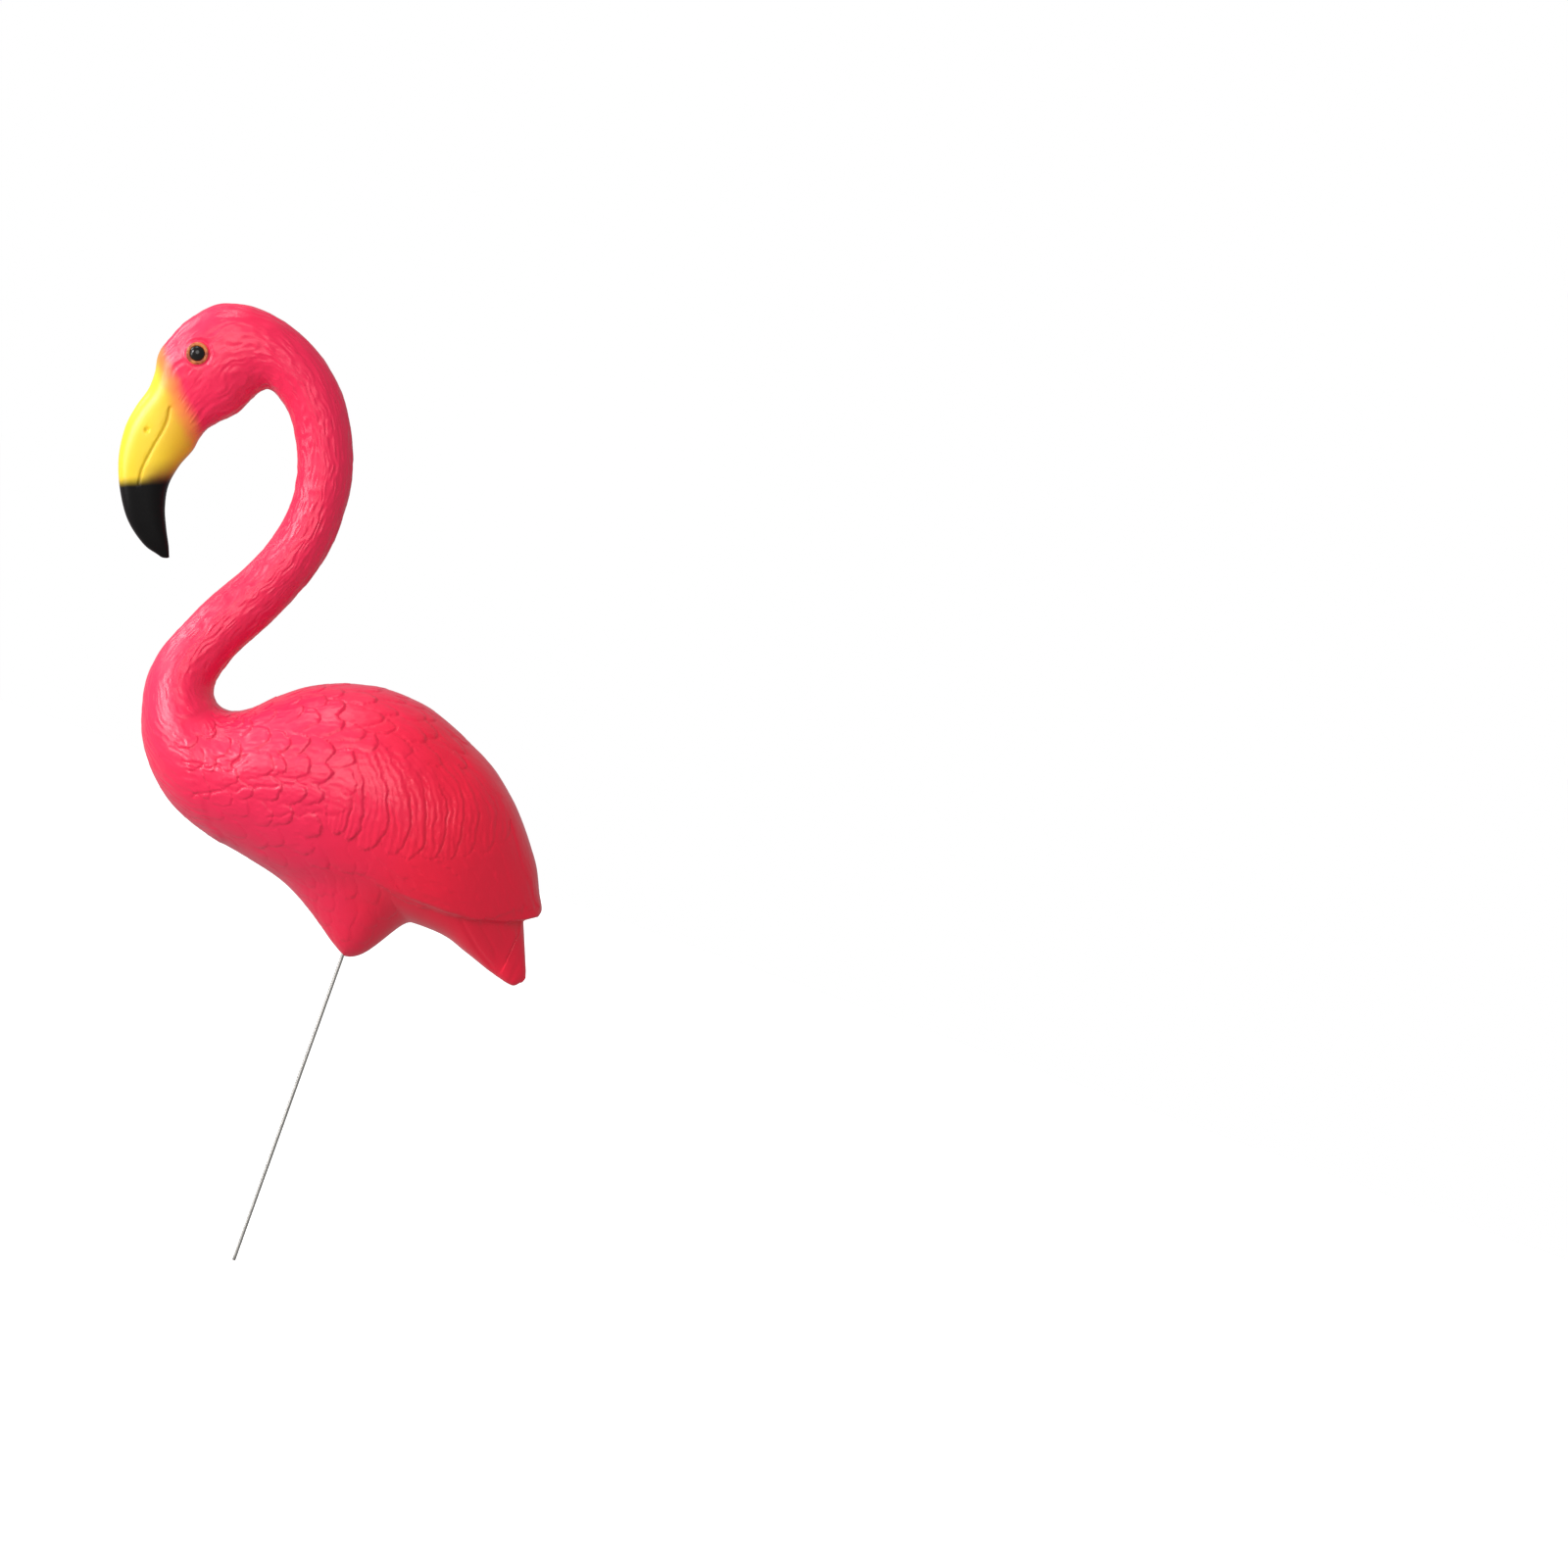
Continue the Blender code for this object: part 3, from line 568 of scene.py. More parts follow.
class Guide:
    """A plain grid of the smooth bird, to find places on its flank."""

    def __init__(self):
        self.places = even_places(GUIDE_ROWS)
        self.half = half_rows(self.places, GUIDE_RINGS)
        self.normal = normals(whole_rows(self.half))[:, : self.half.shape[1]]
        self.flat = self.half.reshape(-1, 3)

    def lift(self, x, z):
        """The point of the flank that side view shows at x, z."""
        k = np.argmin((self.flat[:, 0] - x) ** 2 + (self.flat[:, 2] - z) ** 2)
        return self.flat[k].copy()

    def line(self, knots, count):
        """A side-view line through the knots, lifted on the flank."""
        t = np.linspace(0, len(knots) - 1, count)
        side = spline(knots, t)
        points = np.array([self.lift(x, z) for x, z in side])
        for _ in range(2):
            points[1:-1] = (points[:-2] + 2 * points[1:-1] + points[2:]) / 4
        return points


def short_feathers(guide):
    """Overlapping short feathers in staggered, slightly uneven rows."""
    feathers = []
    chance = np.random.default_rng(SCALE_SEED)
    half = guide.half
    flank = lengths(half)[:, int(FLANK_SHARE * GUIDE_RINGS)]
    start = np.interp(SCALE_FIRST, guide.places, flank)
    stop = np.interp(SCALE_LAST, guide.places, flank)
    for row in range(int((stop - start) / SCALE_SPACING)):
        at = start + row * SCALE_SPACING
        line = half[int(np.argmin(np.abs(flank - at)))]
        girth = lengths(line)
        number = max(4, int(round(girth[-1] / SCALE_GIRTH)))
        for i in range(number + 1):
            ahead, aside = SCALE_JITTER * (chance.random(2) - 0.5)
            share = (i + 0.5 * (row % 2) + aside) / number
            if share > 1:
                continue
            k = int(np.argmin(np.abs(flank - at - ahead * SCALE_SPACING)))
            j = int(round(np.interp(share * girth[-1], girth, np.arange(GUIDE_RINGS + 1))))
            size = 1 + 0.5 * SCALE_JITTER * (2 * chance.random() - 1)
            feathers.append(short_feather(guide, k, j, size, girth[-1] / number))
    return [f for f in feathers if f is not None]


def short_feather(guide, k, j, size, width):
    """One short feather rooted at grid place k, j, or None where none grows."""
    half = guide.half
    root = half[k, j]
    x, _, z = root
    low, high = WING_FRONT
    on_wing = low[0] < z < high[0] and x > read(WING_FRONT, z)
    past_end = x > PLUMAGE_REAR
    behind = x - read(PLUMAGE_EDGE, z)
    if on_wing or past_end or behind < -PLUMAGE_OVERLAP or z < STUMP_BARE:
        return None
    grown = PLUMAGE_RISE + (1 - PLUMAGE_RISE) * ease(behind / PLUMAGE_FADE)
    flows = half[min(k + 2, len(half) - 1)] - half[max(k - 2, 0)]
    steps = np.linalg.norm(flows, axis=1)
    local = steps[j] / steps.max()
    flow = flows[j] / steps[j]
    thigh = ease((THIGH_TOP - z) / THIGH_DEPTH) * ease((x - THIGH_FRONT) / THIGH_LENGTH)
    flow = flow * (1 - THIGH_TURN * thigh) + np.array(THIGH_HANG) * THIGH_TURN * thigh
    normal = guide.normal[k, j]
    flow = flow - normal * np.dot(flow, normal)
    if j in (0, half.shape[1] - 1):
        flow[1] = 0
    flow = flow / max(np.linalg.norm(flow), 1e-6)
    back = ease((z - BACK_LOW) / BACK_DEPTH) * ease((x - BACK_FRONT) / BACK_LENGTH)
    belly = ease((BELLY_TOP - z) / BELLY_DEPTH)
    longer = SCALE_LENGTH + BACK_LONGER * back + THIGH_LONGER * thigh
    length = np.clip(1.25 * local, 0.5, 1.0) * SCALE_SPACING * size * longer
    spread = width * size * (SCALE_SPREAD - BACK_NARROWER * back)
    spread = spread * (PLUMAGE_SPREAD + (1 - PLUMAGE_SPREAD) * grown)
    stump = ease((STUMP_TOP - z) / STUMP_FADE)
    rise = SCALE_RISE * grown * (1 - BACK_LOWER * back)
    rise = rise * (1 - BELLY_LOWER * belly) * (1 - STUMP_LOWER * stump)
    line = np.array((root, root + flow * length))
    return Feather(line, spread, rise, SHORT_TAPER, SHORT_RAMP, 0.0)


def long_feathers(guide):
    """The curved wing coverts and the flight feathers under them."""
    feathers = []
    for i in range(FLIGHT_COUNT):
        share = i / (FLIGHT_COUNT - 1)
        root = [a + (b - a) * share for a, b in zip(*FLIGHT_ROOTS)]
        tip = [a + (b - a) * share for a, b in zip(*FLIGHT_TIPS)]
        bow = FLIGHT_BOW * (2 * share - 0.7)
        bent = ((root[0] + tip[0]) / 2 + 0.4 * bow, (root[1] + tip[1]) / 2 + bow)
        line = guide.line((root, bent, tip), FLIGHT_POINTS)
        feathers.append(
            Feather(line, FLIGHT_WIDTH, FLIGHT_RISE, LONG_TAPER, FLIGHT_RAMP, FLIGHT_LEAN)
        )
    for i, knots in enumerate(LONG_FEATHERS):
        grown = 0.75 + 0.25 * ease(i / 3) - 0.15 * ease((i - 6) / 3)
        line = guide.line(knots, LONG_POINTS)
        rise = LONG_RISE * (1.0 - LONG_RISE_STEP * i)
        feathers.append(Feather(line, LONG_WIDTH * grown, rise, LONG_TAPER, LONG_RAMP, LONG_LEAN))
    return feathers


def along_line(points, out, line):
    """Share of a line's length nearest to each point, and the distance from
    it, counted positive on the side of the out x line direction."""
    best = np.full(len(points), 1e9)
    share = np.zeros(len(points))
    off = np.zeros(len(points))
    steps = np.linalg.norm(np.diff(line, axis=0), axis=1)
    gone = 0.0
    for a, b, step in zip(line[:-1], line[1:], steps):
        d = (b - a) / max(step, 1e-9)
        u = np.clip((points - a) @ d, 0, step)
        gap = points - a - u[:, None] * d
        far = np.linalg.norm(gap, axis=1)
        nearer = far < best
        best[nearer] = far[nearer]
        share[nearer] = (gone + u[nearer]) / steps.sum()
        side = np.sign(np.einsum("ij,ij->i", gap, np.cross(out, d)))
        off[nearer] = (far * side)[nearer]
        gone += step
    return share, off


def near_line(points, knots):
    """Side-view distance from each point to a line through the knots."""
    side = spline(knots, np.linspace(0, len(knots) - 1, 60))
    flat = points[:, (0, 2)]
    best = np.full(len(points), 1e9)
    for p in side:
        best = np.minimum(best, np.hypot(flat[:, 0] - p[0], flat[:, 1] - p[1]))
    return best


def eye_frame(guide):
    """Centre and outward axis of the eye on the side Y < 0, in units."""
    x, z = EYE_AT
    centre = guide.lift(x, z)
    near = np.linalg.norm(guide.flat - centre, axis=1) < 12
    axis = guide.normal.reshape(-1, 3)[near].mean(axis=0)
    axis = axis / np.linalg.norm(axis)
    along, aside = EYE_LOOK
    axis = along * axis + np.array((0, aside, 0))
    return np.array((x, centre[1], z)), axis / np.linalg.norm(axis)


def about_eye(points, centre, axis):
    """Height over the eye's seat, and the way and the distance from its axis."""
    off = points - centre
    height = off @ axis
    flat = off - height[:, None] * axis
    return height, flat, np.linalg.norm(flat, axis=1)


def carve_head(points, normal, centre, axis):
    """Seat and ring of the eye, the nostril and the line of the mouth."""
    height, _, radius = about_eye(points, centre, axis)
    here = (radius < 20) & (np.abs(height) < 15)
    flat = ease((EYE_FLAT - radius) / EYE_FLAT_SOFT) * here
    moved = points - flat[:, None] * height[:, None] * axis
    inner, outer = EYE_RING
    ring = ease((radius - inner + 1) / 1.5) * ease((outer + 0.8 - radius) / 1.6) * here
    moved = moved + axis * (ring * EYE_RING_RISE)[:, None]
    nostril = np.hypot(points[:, 0] - NOSTRIL_AT[0], points[:, 2] - NOSTRIL_AT[1])
    dent = NOSTRIL_DEPTH * ease(1 - nostril / NOSTRIL_REACH)
    groove = MOUTH_DEPTH * ease(1.3 - near_line(points, MOUTH) / MOUTH_WIDTH)
    return moved - normal * (dent + groove)[:, None]


def eye_fold(points, centre, axis):
    """Depth of the fold outside the eye's ring, deepest over and behind it."""
    height, flat, radius = about_eye(points, centre, axis)
    over = 0.55 + 0.5 * (0.35 * flat[:, 0] + 0.95 * flat[:, 2]) / np.maximum(radius, 1.0)
    near = ease(1 - np.abs(radius - EYE_FOLD_RADIUS) / EYE_FOLD_WIDTH) * (np.abs(height) < 12)
    return EYE_FOLD_DEPTH * near * (0.35 + 0.65 * ease(over))


def round_ends(rings):
    """The rings with a low dome of smaller rings added past each end."""
    domes = []
    ends = ((rings[0], rings[1], TIP_BULGE), (rings[-1], rings[-2], TAIL_BULGE))
    for end, inner, bulge in ends:
        middle = end.mean(axis=0)
        out = middle - inner.mean(axis=0)
        out = out / np.linalg.norm(out)
        turns = np.radians(DOME_TURNS)
        domes.append(
            [middle + (end - middle) * math.cos(a) + out * bulge * math.sin(a) for a in turns]
        )
    return np.concatenate((domes[0], rings, domes[1][::-1]))


def lattice_noise(u, v, seed):
    """Smooth noise from 0 to 1 on a lattice of one cell."""
    size = 128
    table = np.random.default_rng(seed).random((size, size))
    iu = np.floor(u).astype(int)
    iv = np.floor(v).astype(int)
    fu = ease(u - iu)
    fv = ease(v - iv)
    i, next_i = iu % size, (iu + 1) % size
    j, next_j = iv % size, (iv + 1) % size
    a = table[i, j] * (1 - fv) + table[i, next_j] * fv
    b = table[next_i, j] * (1 - fv) + table[next_i, next_j] * fv
    return a * (1 - fu) + b * fu


def swing(u, v, seed):
    """Lattice noise to both sides of 0, from -0.5 to 0.5."""
    return lattice_noise(u, v, seed) - 0.5


def swayed(points, sways):
    """The points, in units, with smooth shifts in side view."""
    x, z = points[:, 0], points[:, 2]
    shift = np.zeros_like(points)
    for axis, reach, step_x, step_z, seed in sways:
        shift[:, axis] += reach * swing(x / step_x, z / step_z, seed)
    return points + shift


def strands(s, g, width, length, seed):
    """Fine wavy hair-like ridges along s, about -1 to 1."""
    sway = 1.3 * swing(s / (0.9 * length), g / (5 * width), seed)
    fine = lattice_noise(s / length, g / width + sway, seed + 1)
    finer = swing(s / (0.6 * length), 1.7 * g / width + 1.7 * sway, seed + 2)
    ridge = 1 - 2 * np.abs(2 * fine - 1)
    return 0.65 * ridge + 0.7 * finer


def beside(points, out, feather, margin):
    """Numbers of the points near a feather, their shares and distances."""
    low = feather.line.min(axis=0) - margin
    high = feather.line.max(axis=0) + margin
    near = np.where(np.all((points > low) & (points < high), axis=1))[0]
    return near, *along_line(points[near], out[near], feather.line)


def half_width(feather, share):
    """Half a feather's width at a share of its length, round at its tip."""
    body = np.clip((share - feather.taper) / (1 - feather.taper), 0, 1)
    grown = ROOT_WIDTH + (1 - ROOT_WIDTH) * ease(share / ROOT_WIDENS)
    return feather.width / 2 * np.sqrt(1 - body**2) * grown


def lift_along(feather, share):
    """A feather's height at a share of its length, as a share of its rise."""
    return (ROOT_LIFT + (1 - ROOT_LIFT) * share**feather.ramp) * ease(share / ROOT_LIFTS)


def lay_feathers(points, out, feathers):
    """Height of the topmost feather over every point, and where the point is
    on it: along it, across it from -1 to 1, and its number, from 1."""
    height = np.zeros(len(points))
    spot = np.zeros((len(points), 3))
    for number, feather in enumerate(feathers):
        near, share, off = beside(points, out, feather, feather.width)
        inside = ease((half_width(feather, share) - np.abs(off)) / FINE_EDGE + 0.5)
        across = np.clip(off / (feather.width / 2), -1, 1)
        lean = abs(feather.lean)
        tilt = 0.5 + 0.5 * across * np.sign(feather.lean)
        shape = (1 - lean) * (1 - CAMBER * across**2) + lean * tilt
        found = inside * feather.rise * shape * lift_along(feather, share)
        above = found > height[near]
        hit = near[above]
        height[hit] = found[above]
        spot[hit, 0] = share[above]
        spot[hit, 1] = across[above]
        spot[hit, 2] = number + 1
    return height, spot


def edge_grooves(points, out, feathers, height):
    """0 to 1 in a narrow band outside the edges of feathers on top."""
    groove = np.zeros(len(points))
    for feather in feathers:
        margin = feather.width + 2 * GROOVE_WIDTH
        near, share, off = beside(points, out, feather, margin)
        beyond = (np.abs(off) - half_width(feather, share)) / GROOVE_WIDTH
        top = feather.rise * lift_along(feather, share)
        over = ease((top - height[near]) / (GROOVE_COVER * feather.rise))
        band = ease(1 - np.abs(beyond - 0.5) / 0.8) * over
        band = band * ease((share - GROOVE_START) / GROOVE_START)
        groove[near] = np.maximum(groove[near], band)
    return groove


def barb_lines(spot, s, g):
    """Fine lines along each feather, about -1 to 1."""
    sway = 0.5 * swing(s / 9, g / 9, 61)
    across = spot[:, 1] + 0.3 * sway
    closer = 1.1 - 0.25 * spot[:, 0]
    lines = np.cos(math.pi * BARB_COUNT * across * closer + 1.7 * spot[:, 2])
    broken = swing(s / 6, g / 2.4 + 2.0 * sway, 67)
    return 0.6 * lines + 1.4 * broken


# The skin's points: where they are, which way they face, and where along the
# bird, round it and away from its seam.
Skin = namedtuple("Skin", "points out section along around share seam")


def list_skin(places, half):
    """The half skin's grid as lists of its points."""
    normal = normals(whole_rows(half))[:, : RINGS + 1]
    normal[:, (0, -1), 1] = 0
    out = normal.reshape(-1, 3)
    along = np.repeat(lengths(half[:, RINGS // 2]), RINGS + 1)
    around = lengths(half.swapaxes(0, 1)).T
    share = np.tile(np.linspace(0, 1, RINGS + 1), ROWS)
    seam = ease(np.abs(out[:, 1]) / SEAM_FADE)
    section = np.repeat(places, RINGS + 1)
    return Skin(half.reshape(-1, 3), out, section, along, around.reshape(-1), share, seam)


def feather_relief(skin, guide):
    """Height of the feathers, with the grooves and fine lines along them."""
    feathers = long_feathers(guide) + short_feathers(guide)
    last_long = FLIGHT_COUNT + len(LONG_FEATHERS)
    belly = ease((BELLY_SOFT_TOP - skin.points[:, 2]) / BELLY_SOFT_DEPTH)
    soft = 1 - BELLY_SOFT * belly * (skin.section > BELLY_SOFT_FROM)
    bent = swayed(skin.points, FEATHER_SWAY)
    height, spot = lay_feathers(bent, skin.out, feathers)
    number = spot[:, 2]
    height = np.where(number > last_long, height * soft, height)
    grooves = edge_grooves(bent, skin.out, feathers[FLIGHT_COUNT:], height)
    height = height - GROOVE_DEPTH * soft * grooves
    height = height * (SEAM_SHARE + (1 - SEAM_SHARE) * skin.seam)

    flight = (number > 0) & (number <= FLIGHT_COUNT)
    covert = (number > FLIGHT_COUNT) & (number <= last_long)
    strength = np.where(covert, BARBS_LONG, BARBS_SHORT * soft)
    strength = np.where(flight, BARBS_FLIGHT, strength)
    barbs = barb_lines(spot, skin.along, skin.around)
    return height + strength * barbs * ease(height / BARBS_FULL)


def add_plumage(skin, height):
    """The height with the strokes of the plumage, and where it is."""
    x, z = skin.points[:, 0], skin.points[:, 2]
    s, g, t = skin.along, skin.around, skin.section
    ragged = RAGGED_REACH * swing(s / 30, g / 13, 71)
    edge = ease((read(PLUMAGE_EDGE, z) - x + ragged) / RAGGED_SOFT + 0.5)
    plumage = np.where(t < NECK_END, 1.0, edge)
    (ax, az), (bx, bz) = BEAK_EDGE
    on_beak = (x - ax) * (bx - ax) + (z - az) * (bz - az)
    on_beak = on_beak / math.hypot(bx - ax, bz - az)
    plumage = plumage * np.where(t < FACE_END, ease(0.3 - on_beak / 9), 1.0)
    breast = ease((t - BREAST_START) / 4)
    on_neck = strands(s, NECK_GIRTH * skin.share, *NECK_STROKE) * (1 - breast)
    hair = on_neck + strands(s, g, *BREAST_STROKE) * breast
    height = height + (NECK_HAIR - BREAST_HAIR_LESS * breast) * hair * plumage
    return height + PLUMAGE_HEIGHT * plumage * breast * edge, plumage


def add_unevenness(skin, height, plumage):
    """The height with loose strokes on the body, unevenness and grain."""
    x, z = skin.points[:, 0], skin.points[:, 2]
    s, g, t = skin.along, skin.around, skin.section
    wide = strands(s, g, *BODY_STROKE)
    body = ease((t - 30) / 2) * ease((46 - t) / 4) * (1 - plumage)
    smooth_wing = ease((x - 10) / 60)
    fades = (1 - 0.7 * smooth_wing) * (0.4 + 0.6 * skin.seam)
    height = height + BODY_HAIR * wide * body * fades
    uneven = swing(x / UNEVEN_SIZE, z / UNEVEN_SIZE, 51)
    height = height + UNEVEN_HEIGHT * uneven * ease((t - 9) / 3)
    grain = swing(s / GRAIN_SIZE, g / GRAIN_SIZE, 91)
    return height + GRAIN_HEIGHT * grain * (plumage + body * (1 - smooth_wing))


def cut_lines(skin, height, points, lines, cut):
    """The height with grooves along side-view lines on the flank."""
    depth, reach, width = cut
    flank = np.abs(skin.out[:, 1]) > FLANK_ONLY
    for knots in lines:
        height = height - depth * ease(reach - near_line(points, knots) / width) * flank
    return height


def fine_skin(guide):
    """The bird's skin with its carving and fine relief, in units."""
    places = even_places(ROWS)
    half = half_rows(places, RINGS)
    skin = list_skin(places, half)
    height = feather_relief(skin, guide)
    height, plumage = add_plumage(skin, height)
    height = add_unevenness(skin, height, plumage)
    grouped = swayed(skin.points, GROUP_SWAY)
    height = cut_lines(skin, height, grouped, GROUP_EDGES, GROUP_CUT)
    height = cut_lines(skin, height, skin.points, TAIL_GROOVES, TAIL_CUT)

    # The relief ends above the stump's end and on the tail under the wing.
    x, z = skin.points[:, 0], skin.points[:, 2]
    below = read(WING_EDGE, x) - z
    plain = ease((x - PLAIN_TAIL) / 7) * ease(below / 3)
    height = height * ease((z - 2) / 10) * (1 - plain)

    centre, axis = eye_frame(guide)
    carved = carve_head(skin.points + skin.out * height[:, None], skin.out, centre, axis)
    carved = carved - skin.out * eye_fold(carved, centre, axis)[:, None]
    half = carved.reshape(half.shape)
    half[:, (0, -1), 1] = 0
    return round_ends(whole_rows(half))


def skin_mesh(name, rings):
    """A closed mesh from rings of points, with a fan on each end."""
    rows, around = rings.shape[:2]
    index = np.arange(rows * around).reshape(rows, around)
    nxt = np.roll(index, -1, axis=1)
    quads = np.stack((index[:-1], index[1:], nxt[1:], nxt[:-1]), axis=-1).reshape(-1, 4)
    ends = np.stack((rings[0].mean(axis=0), rings[-1].mean(axis=0)))
    points = np.concatenate((rings.reshape(-1, 3), ends))
    first = [(rows * around, int(a), int(b)) for a, b in zip(index[0], nxt[0])]
    last = [(rows * around + 1, int(b), int(a)) for a, b in zip(index[-1], nxt[-1])]
    mesh = bpy.data.meshes.new(name)
    mesh.from_pydata(points.tolist(), [], quads.tolist() + first + last)
    bm = bmesh.new()
    bm.from_mesh(mesh)
    bmesh.ops.recalc_face_normals(bm, faces=bm.faces)
    return finish_mesh(bm, mesh)


def finish_mesh(bm, mesh, smooth=True):
    """The mesh filled from the edited faces, smooth or flat."""
    bm.to_mesh(mesh)
    bm.free()
    if smooth:
        mesh.shade_smooth()
    return mesh


def add_object(name, data):
    """An object in the scene, made from a mesh, a camera or a light."""
    thing = bpy.data.objects.new(name, data)
    bpy.context.scene.collection.objects.link(thing)
    return thing


def reduce_faces(thing, triangles):
    """Rebuild an object's mesh with about as many triangles as given."""
    fewer = thing.modifiers.new("fewer faces", "DECIMATE")
    fewer.ratio = triangles / (2 * len(thing.data.polygons))
    bpy.context.view_layer.update()
    evaluated = thing.evaluated_get(bpy.context.evaluated_depsgraph_get())
    reduced = bpy.data.meshes.new_from_object(evaluated)
    thing.modifiers.clear()
    thing.data = reduced
    reduced.shade_smooth()


def to_world(p):
    """A place on the bird, in units, as metres in the world."""
    return Vector((p[0] * UNIT, p[1] * UNIT, p[2] * UNIT + STAKE_SHOWING))


class Nodes:
    """Short hand for building a material's node tree."""

    def __init__(self, name):
        self.material = bpy.data.materials.new(name)
        self.material.use_nodes = True
        self.tree = self.material.node_tree
        self.shader = self.tree.nodes["Principled BSDF"]

    def new(self, kind, **values):
        """A new node with some of its properties set."""
        node = self.tree.nodes.new(kind)
        for key, value in values.items():
            setattr(node, key, value)
        return node

    def put(self, value, socket):
        """A link from an output, or else a plain colour or number."""
        if isinstance(value, bpy.types.NodeSocket):
            self.tree.links.new(value, socket)
        elif isinstance(value, tuple):
            socket.default_value = (*value, 1.0)
        else:
            socket.default_value = value

    def math(self, operation, *values):
        """The result of an operation on numbers or outputs."""
        node = self.new("ShaderNodeMath", operation=operation)
        for socket, value in zip(node.inputs, values):
            self.put(value, socket)
        return node.outputs[0]

    def plus(self, a, b):
        """The sum of two numbers or outputs."""
        return self.math("ADD", a, b)

    def times(self, a, b):
        """The product of two numbers or outputs."""
        return self.math("MULTIPLY", a, b)

    def ramp(self, value, low, high):
        """0 to 1 with level ends, as a value goes from low to high."""
        node = self.new("ShaderNodeMapRange")
        node.interpolation_type = "SMOOTHSTEP"
        self.put(value, node.inputs["Value"])
        node.inputs["From Min"].default_value = low
        node.inputs["From Max"].default_value = high
        return node.outputs["Result"]

    def mix(self, factor, a, b):
        """A colour between two colours or outputs."""
        node = self.new("ShaderNodeMix", data_type="RGBA")
        self.put(factor, node.inputs[0])
        self.put(a, node.inputs[6])
        self.put(b, node.inputs[7])
        return node.outputs[2]

    def noise(self, place, scale, detail=2.0, rough=0.5):
        """Smooth noise over a place."""
        node = self.new("ShaderNodeTexNoise")
        inputs = (("Vector", place), ("Scale", scale), ("Detail", detail), ("Roughness", rough))
        for name, value in inputs:
            self.put(value, node.inputs[name])
        return node.outputs["Fac"]

    def sway(self, noise, reach):
        """Noise turned into a shift to both sides of 0."""
        return self.times(self.math("SUBTRACT", noise, 0.5), reach)

    def place(self):
        """The place on the object, whole and as its x, y and z."""
        coordinates = self.new("ShaderNodeTexCoord")
        split = self.new("ShaderNodeSeparateXYZ")
        self.put(coordinates.outputs["Object"], split.inputs[0])
        return coordinates.outputs["Object"], split.outputs

    def feed(self, name, value):
        """One of the shader's inputs linked or set."""
        self.put(value, self.shader.inputs[name])

    def bump(self, height, strength, distance):
        """Fine bumps on the surface."""
        node = self.new("ShaderNodeBump")
        node.inputs["Strength"].default_value = strength
        node.inputs["Distance"].default_value = distance
        self.put(height, node.inputs["Height"])
        self.feed("Normal", node.outputs[0])


def far_along(nodes, split, start, end):
    """0 at one side-view place and 1 at another, along their line."""
    a = to_world((start[0], 0, start[1]))
    b = to_world((end[0], 0, end[1]))
    d = b - a
    length = d.length_squared
    across = nodes.times(nodes.math("SUBTRACT", split[0], a.x), d.x / length)
    up = nodes.times(nodes.math("SUBTRACT", split[2], a.z), d.z / length)
    return nodes.plus(across, up)


def eye_distance(nodes, split, eye_centre):
    """Distance from the nearer eye's centre, the same on both sides."""
    centre = to_world(eye_centre)
    mirrored = nodes.new("ShaderNodeCombineXYZ")
    parts = (split[0], nodes.math("ABSOLUTE", split[1]), split[2])
    for part, socket in zip(parts, mirrored.inputs):
        nodes.put(part, socket)
    gap = nodes.new("ShaderNodeVectorMath", operation="DISTANCE")
    nodes.put(mirrored.outputs[0], gap.inputs[0])
    gap.inputs[1].default_value = (centre.x, abs(centre.y), centre.z)
    return gap.outputs["Value"]


